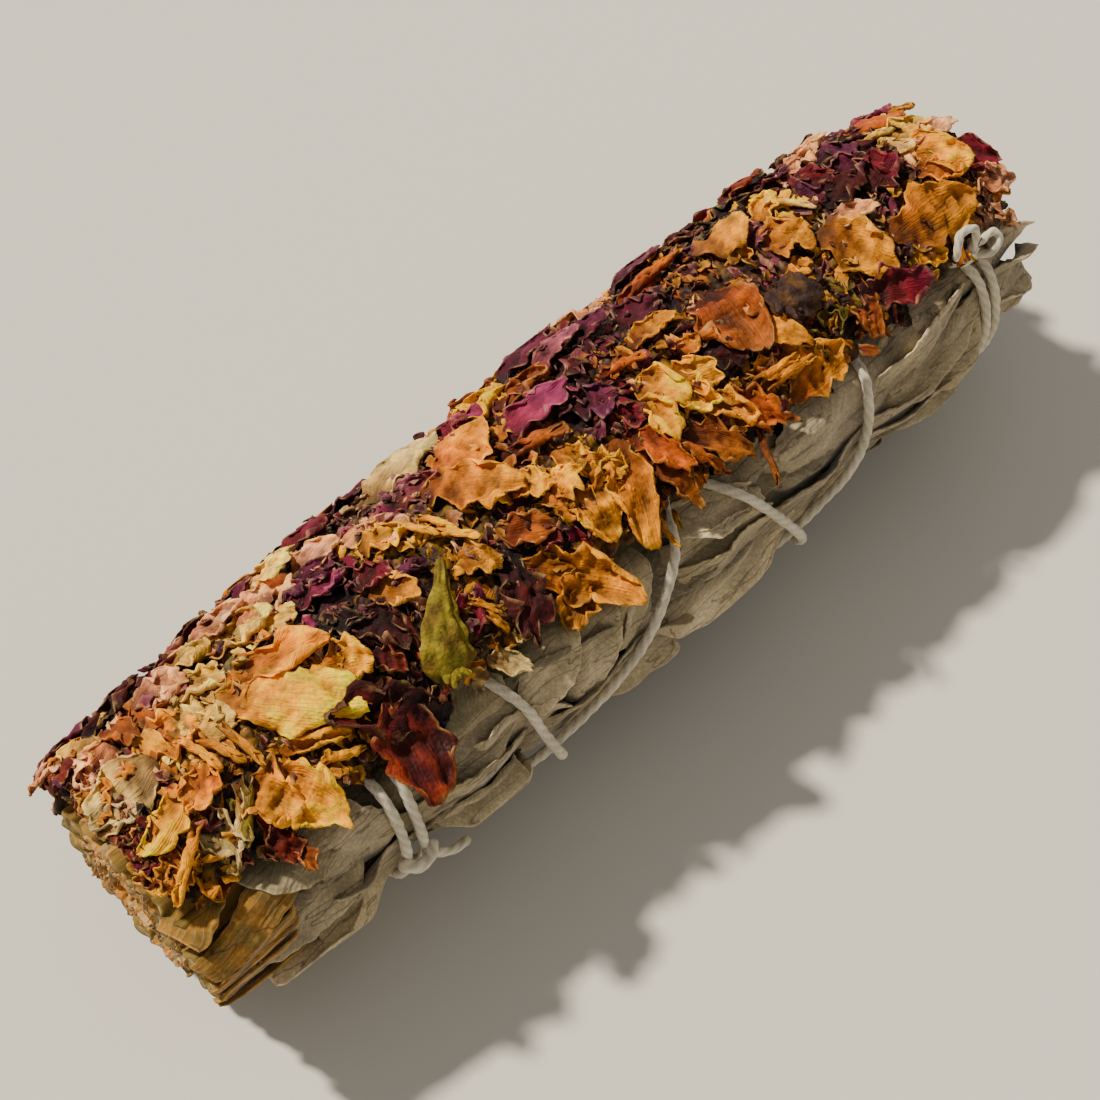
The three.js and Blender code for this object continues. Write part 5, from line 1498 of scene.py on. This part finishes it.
class BUNDLE_OT_calyxes(bpy.types.Operator):
    """Make the two rosebud cups that lie among the petals"""

    bl_idname = "sage_bundle.calyxes"
    bl_label = "Make the calyxes"

    def execute(self, context):
        settings = context.scene.bundle_calyxes
        for name, points, colour, sepals, length in (
            ("green_calyx", GREEN_CALYX, settings.green, GREEN_SEPALS, GREEN_SEPAL_LENGTH),
            ("dark_calyx", DARK_CALYX, settings.dark, DARK_SEPALS, DARK_SEPAL_LENGTH),
        ):
            rng = np.random.default_rng(len(name))
            piece = Surfaces()
            rings, along, angle, ribs = calyx_rings(points)
            tone = np.array(colour)
            speck = 0.5 + 0.5 * np.sin(angle * 5 + along * 21) * np.sin(angle * 3 - along * 33)
            blotch = np.sin(angle * 2 + along * 11) + np.sin(along * 19 - angle * 3) + speck
            blotch = 0.6 * smooth(blotch, 0.1, 1.6)[..., None]
            # The cup's own specks, with painted light on its raised ribs and painted shade between them
            tint = tone * (0.7 + 0.5 * speck + 1.2 * (ribs - 1))[..., None]
            tint = tint * (1 - blotch) + np.array(linear(BROWN_BLOTCH)) * blotch
            flow = np.stack(np.broadcast_arrays(along, angle, 0 * angle * along), axis=-1)
            outward_loft(piece, rings, tint, flow, end_bulge=0.3)
            add_sepals(piece, points, sepals, length, tone, rng)
            if name == "dark_calyx":
                self.shrivelled(piece, points, tone, rng)
            piece.write(name.replace("_", "_bud_"), calyx_material(name), name)
        return {"FINISHED"}

    def shrivelled(self, piece, points, tone, rng):
        """Small dark curled scraps all over a dried cup"""
        number = SCRAPS
        near = rng.integers(1, len(points), number)
        strewn = rng.uniform(-1.6, 1.6, (4, number)) * [[1], [4], [0.3], [0]]
        x, turn, height, _ = np.array(points)[near].T + strewn
        length = rng.uniform(2.4, 4.4, number)
        width = length * rng.uniform(0.4, 0.8, number)
        form = np.array(FORMS["j"])[:, None] * rng.uniform(0.8, 1.6, (4, number))
        heading, tilt = rng.uniform(0, 360, number), rng.uniform(0, 45, number)
        petals = np.stack([x, turn, heading, length, width, tilt, *form, height], axis=1)
        middle, edge, u, v, folds, rise = petal_sheets(rng, petals, *SCRAP_GRID)
        tones = tone * rng.uniform(0.5, 1.3, (number, 1))
        tint = petal_tints(rng, tones, edge * 0.8, u, v, folds, rise)
        flow = np.stack([u, v, folds], axis=-1)
        add_shells(piece, middle, SCRAP_THICKNESS, tint, smooth(np.abs(edge), 0.88, 1.0), flow)


# Materials

# Scales of a pattern on Object coordinates are in cells a metre, and a bump's distance is in metres


class Wiring:
    """A material's or group's nodes, placed and joined by short calls"""

    def __init__(self, tree):
        self.tree = tree

    def give(self, node, inputs):
        """Values or links for a node's inputs, which are given by number or name"""
        for key, value in inputs.items():
            if isinstance(value, bpy.types.NodeSocket):
                self.tree.links.new(value, node.inputs[key])
            else:
                node.inputs[key].default_value = value

    def node(self, kind, settings=(), numbered=(), **named):
        """A node with its settings, and its inputs by number and by name"""
        made = self.tree.nodes.new(kind)
        for key, value in dict(settings).items():
            setattr(made, key, value)
        self.give(made, {**dict(numbered), **named})
        return made

    def math(self, operation, a, b=0.0):
        return self.node("ShaderNodeMath", {"operation": operation}, {0: a, 1: b}).outputs[0]

    def plus(self, a, b):
        return self.math("ADD", a, b)

    def times(self, a, b):
        return self.math("MULTIPLY", a, b)

    def distance_from(self, value, middle):
        """How far a value lies from the middle, either way"""
        return self.math("ABSOLUTE", self.math("SUBTRACT", value, middle))

    def spread(self, value, from_low, from_high, to_low, to_high):
        """A value moved from one range to another, and kept within it"""
        numbered = dict(enumerate((value, from_low, from_high, to_low, to_high)))
        return self.node("ShaderNodeMapRange", {}, numbered).outputs[0]

    def mix(self, factor, a, b, blend="MIX"):
        settings = {"data_type": "RGBA", "blend_type": blend}
        return self.node("ShaderNodeMix", settings, {0: factor, 6: a, 7: b}).outputs[2]

    def noise(self, vector, scale, detail=3.0, roughness=0.55):
        given = {"Vector": vector, "Scale": scale, "Detail": detail, "Roughness": roughness}
        return self.node("ShaderNodeTexNoise", {}, given).outputs["Fac"]

    def stretched(self, vector, scale):
        return self.node("ShaderNodeMapping", {}, Vector=vector, Scale=scale).outputs[0]

    def bump(self, height, strength, distance, settings=(), **named):
        given = {"Strength": strength, "Distance": distance, "Height": height}
        return self.node("ShaderNodeBump", settings, given, **named).outputs[0]

    def group(self, tree, **named):
        return self.node("ShaderNodeGroup", {"node_tree": tree}, **named).outputs


def rgba(code):
    """A colour code as a colour socket's four numbers"""
    return (*linear(code), 1.0)


def new_group(name, inputs, outputs):
    """A shader node group with its sockets, its wiring and what its inputs give"""
    group = bpy.data.node_groups.new(name, "ShaderNodeTree")
    for socket, kind, value in inputs:
        made = group.interface.new_socket(socket, in_out="INPUT", socket_type=kind)
        if value is not None:
            made.default_value = value
    for socket, kind in outputs:
        group.interface.new_socket(socket, in_out="OUTPUT", socket_type=kind)
    wires = Wiring(group)
    return group, wires, wires.node("NodeGroupInput").outputs


def mottling():
    """Blotches and specks over a colour, at a scale and strength of the material's own"""
    if "Mottling" in bpy.data.node_groups:
        return bpy.data.node_groups["Mottling"]
    inputs = [
        ("Colour", "NodeSocketColor", None),
        ("Vector", "NodeSocketVector", None),
        ("Scale", "NodeSocketFloat", 200.0),
        ("Amount", "NodeSocketFloat", 0.4),
    ]
    outputs = [("Colour", "NodeSocketColor"), ("Mask", "NodeSocketFloat")]
    group, wires, given = new_group("Mottling", inputs, outputs)
    broad = wires.noise(given["Vector"], given["Scale"], 4.0, 0.6)
    specks = wires.noise(given["Vector"], wires.times(given["Scale"], 5.5), 3.0, 0.6)
    mask = wires.plus(wires.times(broad, 0.65), wires.times(specks, 0.35))
    low = wires.math("SUBTRACT", 1.0, given["Amount"])
    high = wires.plus(1.0, given["Amount"])
    gain = wires.spread(mask, 0.36, 0.64, low, high)
    lit = wires.node("ShaderNodeVectorMath", {"operation": "SCALE"}, {0: given["Colour"]}, Scale=gain)
    wires.node("NodeGroupOutput", {}, Colour=lit.outputs[0], Mask=mask)
    return group


def fine_relief():
    """Fine relief of a dried skin: pebbling and small wrinkles, given as a normal"""
    if "Fine relief" in bpy.data.node_groups:
        return bpy.data.node_groups["Fine relief"]
    inputs = [
        ("Vector", "NodeSocketVector", None),
        ("Pebbles", "NodeSocketFloat", 900.0),
        ("Wrinkles", "NodeSocketFloat", 350.0),
        ("Strength", "NodeSocketFloat", 0.4),
    ]
    group, wires, given = new_group("Fine relief", inputs, [("Normal", "NodeSocketVector")])
    places = {"Vector": given["Vector"], "Scale": given["Pebbles"]}
    cells = wires.node("ShaderNodeTexVoronoi", {"feature": "SMOOTH_F1"}, places).outputs["Distance"]
    wrinkles = wires.noise(given["Vector"], given["Wrinkles"], 5.0, 0.62)
    height = wires.plus(wires.times(cells, 0.5), wrinkles)
    wires.node("NodeGroupOutput", {}, Normal=wires.bump(height, given["Strength"], 0.0006))
    return group


def new_material(name):
    """A material with its wiring and its shader, the piece's tint and flow, and its Object coordinates"""
    made = bpy.data.materials.new(name)
    made.use_nodes = True
    wires = Wiring(made.node_tree)
    shader = made.node_tree.nodes["Principled BSDF"]
    shader.inputs["Specular IOR Level"].default_value = 0.18
    tint = wires.node("ShaderNodeAttribute", {"attribute_name": "tint"}).outputs["Color"]
    flow = wires.node("ShaderNodeAttribute", {"attribute_name": "flow"}).outputs["Vector"]
    coordinates = wires.node("ShaderNodeTexCoord").outputs["Object"]
    return made, wires, shader, tint, flow, coordinates


def petal_material():
    """Mottled petal with dark veins that fan along it, pebbled and finely wrinkled"""
    made, wires, shader, tint, flow, at = new_material("dried_petal")
    mottled = wires.group(mottling(), Colour=tint, Vector=at, Scale=230.0, Amount=0.42)
    fan = wires.stretched(flow, (1.6, 9.0, 0.0))
    drift = wires.stretched(at, (120.0, 120.0, 120.0))
    along = wires.node("ShaderNodeVectorMath", {"operation": "ADD"}, {0: fan, 1: drift}).outputs[0]
    veins = wires.distance_from(wires.noise(along, 1.0, 2.0, 0.5), 0.5)
    vein_mask = wires.spread(veins, 0.0, 0.05, 0.28, 0.0)
    veined = wires.mix(vein_mask, mottled["Colour"], rgba("#3A1410"), "MULTIPLY")
    relief = wires.group(fine_relief(), Vector=at, Pebbles=1500.0, Wrinkles=520.0, Strength=0.55)
    surface = {
        "Base Color": veined,
        "Roughness": wires.spread(mottled["Mask"], 0.35, 0.65, 0.5, 0.85),
        "Normal": wires.bump(veins, 0.5, 0.0012, Normal=relief["Normal"]),
        "Sheen Weight": 0.03,
    }
    wires.give(shader, surface)
    return made


def leaf_material():
    """Velvety leaf with slanting pale side veins, a fine dark net and long dark lines of painted shade, as in
    shaded wrinkles
    """
    made, wires, shader, tint, flow, at = new_material("sage_leaf")
    mottled = wires.group(mottling(), Colour=tint, Vector=at, Scale=140.0, Amount=0.22)
    ways = wires.node("ShaderNodeSeparateXYZ", {}, Vector=flow).outputs
    backward = wires.times(wires.math("ABSOLUTE", ways["Y"]), -11.0)
    slant = wires.plus(wires.times(ways["X"], 60.0), backward)
    wavering = wires.plus(slant, wires.times(wires.noise(at, 260.0), 3.0))
    side_veins = wires.math("ABSOLUTE", wires.math("SINE", wavering))
    cells = wires.node("ShaderNodeTexVoronoi", {"feature": "DISTANCE_TO_EDGE"}, Vector=at, Scale=1150.0)
    net_mask = wires.spread(cells.outputs["Distance"], 0.0, 0.2, 0.24, 0.0)
    netted = wires.mix(net_mask, mottled["Colour"], rgba("#5A5040"), "MULTIPLY")
    veined = wires.mix(wires.spread(side_veins, 0.0, 0.22, 0.16, 0.0), netted, rgba("#D8D0B4"))
    # Long thin lines of painted shade, as in shaded cracks and wrinkles
    drift = wires.noise(wires.stretched(at, (0.11, 1.0, 1.0)), 300.0, 2.0, 0.5)
    wrinkles = wires.spread(wires.distance_from(drift, 0.5), 0.0, 0.02, 0.6, 0.0)
    relief = wires.group(fine_relief(), Vector=at, Pebbles=1100.0, Wrinkles=260.0, Strength=0.42)
    surface = {
        "Base Color": wires.mix(wrinkles, veined, rgba("#4A3826"), "MULTIPLY"),
        "Roughness": 0.92,
        "Normal": wires.bump(side_veins, 0.25, 0.0003, {"invert": True}, Normal=relief["Normal"]),
        "Sheen Weight": 0.25,
    }
    wires.give(shader, surface)
    return made


def stem_material():
    """Bark with dark fibres and warm patches, drawn out along the stem"""
    made, wires, shader, tint, _, at = new_material("sage_stem")
    drawn_out = wires.stretched(at, (0.12, 1.0, 1.0))
    fibres = wires.noise(drawn_out, 900.0, 5.0, 0.6)
    patches = wires.noise(drawn_out, 180.0, 3.0, 0.5)
    dark = wires.mix(wires.spread(fibres, 0.35, 0.6, 0.6, 0.0), tint, rgba("#4A3818"), "MULTIPLY")
    surface = {
        "Base Color": wires.mix(wires.spread(patches, 0.45, 0.65, 0.0, 0.5), dark, rgba("#A08040")),
        "Roughness": 0.82,
        "Normal": wires.bump(fibres, 0.6, 0.0004),
    }
    wires.give(shader, surface)
    return made


def cotton_material():
    """Soiled cotton with fine fibres, which turn round each ply"""
    made, wires, shader, tint, flow, at = new_material("cotton")
    fibres = wires.noise(at, 2600.0, 4.0, 0.6)
    soil = wires.spread(wires.noise(at, 700.0, 3.0, 0.5), 0.4, 0.7, 0.0, 0.35)
    twist = wires.node("ShaderNodeSeparateXYZ", {}, Vector=flow).outputs["Y"]
    strands = wires.math("SINE", wires.plus(wires.times(twist, 14.0), wires.times(fibres, 4.0)))
    surface = {
        "Base Color": wires.mix(soil, tint, rgba("#B8A47C")),
        "Roughness": 0.9,
        "Normal": wires.bump(wires.plus(fibres, wires.times(strands, 0.3)), 0.4, 0.0002),
        "Sheen Weight": 0.3,
    }
    wires.give(shader, surface)
    return made


def calyx_material(name):
    """Mottled, finely wrinkled green or brown cup"""
    made, wires, shader, tint, _, at = new_material(name)
    mottled = wires.group(mottling(), Colour=tint, Vector=at, Scale=420.0, Amount=0.5)
    relief = wires.group(fine_relief(), Vector=at, Pebbles=1800.0, Wrinkles=700.0, Strength=0.6)
    surface = {"Base Color": mottled["Colour"], "Roughness": 0.8, "Normal": relief["Normal"]}
    wires.give(shader, surface)
    return made


# Stage

# The camera's place: turned and raised as the photograph's was, and its distance from its target
CAMERA_TURN = 44.5
CAMERA_RISE = 60.0
CAMERA_DISTANCE = 340.0
CAMERA_ANGLE = 28.6
TARGET_RIGHT = -3.16
TARGET_AHEAD = -5.02
TARGET_HEIGHT = 25.0
SENSOR = 36.0
# Where the sun stands from the bundle, how wide it is in degrees, and the light's colours
SUN_PLACE = (-0.28, 0.72, 1.0)
SUN_WIDTH = 4
SUN_COLOUR = (1.0, 0.92, 0.79)
SKY_COLOUR = (1.0, 0.965, 0.91, 1.0)
# The floor's half width and its level, in metres, just under the bundle
FLOOR_REACH = 4.0
FLOOR_LEVEL = -0.0001


def make_camera():
    """The camera stands back from its target along a line turned and raised by its two angles"""
    turn, rise = np.radians(CAMERA_TURN), np.radians(CAMERA_RISE)
    right = np.array([np.cos(turn), -np.sin(turn), 0])
    ahead = np.array([np.sin(turn), np.cos(turn), 0])
    back = -ahead * np.cos(rise) + np.array([0, 0, np.sin(rise)])
    target = np.array([0, 0, TARGET_HEIGHT]) + right * TARGET_RIGHT + ahead * TARGET_AHEAD
    data = bpy.data.cameras.new("camera")
    data.sensor_width = SENSOR
    data.lens = SENSOR / 2 / np.tan(np.radians(CAMERA_ANGLE / 2))
    data.clip_start = 0.01
    camera = bpy.data.objects.new("camera", data)
    bpy.context.scene.collection.objects.link(camera)
    camera.location = (target + back * CAMERA_DISTANCE) * MM
    camera.rotation_euler = Vector(back).to_track_quat("Z", "Y").to_euler()
    bpy.context.scene.camera = camera


class BUNDLE_OT_stage(bpy.types.Operator):
    """Set the camera, the light and the floor"""

    bl_idname = "sage_bundle.stage"
    bl_label = "Set the stage"

    def execute(self, context):
        settings = context.scene.bundle_stage
        make_camera()
        sun = bpy.data.lights.new("sun", "SUN")
        sun.energy = settings.key
        sun.angle = np.radians(SUN_WIDTH)
        sun.color = SUN_COLOUR
        lamp = bpy.data.objects.new("sun", sun)
        lamp.rotation_euler = Vector(SUN_PLACE).to_track_quat("Z", "Y").to_euler()
        context.scene.collection.objects.link(lamp)
        world = bpy.data.worlds.new("sky")
        world.use_nodes = True
        sky = world.node_tree.nodes["Background"]
        sky.inputs["Color"].default_value = SKY_COLOUR
        sky.inputs["Strength"].default_value = settings.fill
        context.scene.world = world
        mesh = bpy.data.meshes.new("floor")
        signs = [(-1, -1), (1, -1), (1, 1), (-1, 1)]
        corners = [(FLOOR_REACH * x, FLOOR_REACH * y, FLOOR_LEVEL) for x, y in signs]
        mesh.from_pydata(corners, [], [(0, 1, 2, 3)])
        floor = bpy.data.objects.new("floor", mesh)
        context.scene.collection.objects.link(floor)
        made = bpy.data.materials.new("floor")
        made.use_nodes = True
        shader = made.node_tree.nodes["Principled BSDF"]
        shader.inputs["Base Color"].default_value = (*settings.floor, 1.0)
        shader.inputs["Roughness"].default_value = 0.9
        mesh.materials.append(made)
        return {"FINISHED"}


class BUNDLE_PT_panel(bpy.types.Panel):
    """Lists the bundle's pieces and their settings"""

    bl_label = "Sage bundle"
    bl_idname = "BUNDLE_PT_panel"
    bl_space_type = "VIEW_3D"
    bl_region_type = "UI"
    bl_category = "Sage bundle"

    def draw(self, context):
        scene = context.scene
        for operator, settings in (
            (BUNDLE_OT_stage, scene.bundle_stage),
            (BUNDLE_OT_stems, None),
            (BUNDLE_OT_leaves, scene.bundle_sage),
            (BUNDLE_OT_string, scene.bundle_string),
            (BUNDLE_OT_petals, scene.bundle_petals),
            (BUNDLE_OT_calyxes, scene.bundle_calyxes),
        ):
            self.layout.operator(operator.bl_idname)
            if settings:
                for key in type(settings).__annotations__:
                    self.layout.prop(settings, key)


SETTINGS = {
    "bundle_sage": SageSettings,
    "bundle_petals": PetalSettings,
    "bundle_string": StringSettings,
    "bundle_calyxes": CalyxSettings,
    "bundle_stage": StageSettings,
}
CLASSES = (
    *SETTINGS.values(),
    BUNDLE_OT_stage,
    BUNDLE_OT_stems,
    BUNDLE_OT_leaves,
    BUNDLE_OT_string,
    BUNDLE_OT_petals,
    BUNDLE_OT_calyxes,
    BUNDLE_PT_panel,
)


def register():
    for one in CLASSES:
        bpy.utils.register_class(one)
    for name, group in SETTINGS.items():
        setattr(bpy.types.Scene, name, PointerProperty(type=group))


def unregister():
    for name in SETTINGS:
        delattr(bpy.types.Scene, name)
    for one in reversed(CLASSES):
        bpy.utils.unregister_class(one)


def main():
    register()
    bpy.ops.sage_bundle.stage()
    bpy.ops.sage_bundle.stems()
    bpy.ops.sage_bundle.leaves()
    bpy.ops.sage_bundle.string()
    bpy.ops.sage_bundle.petals()
    bpy.ops.sage_bundle.calyxes()


if __name__ == "__main__":
    main()
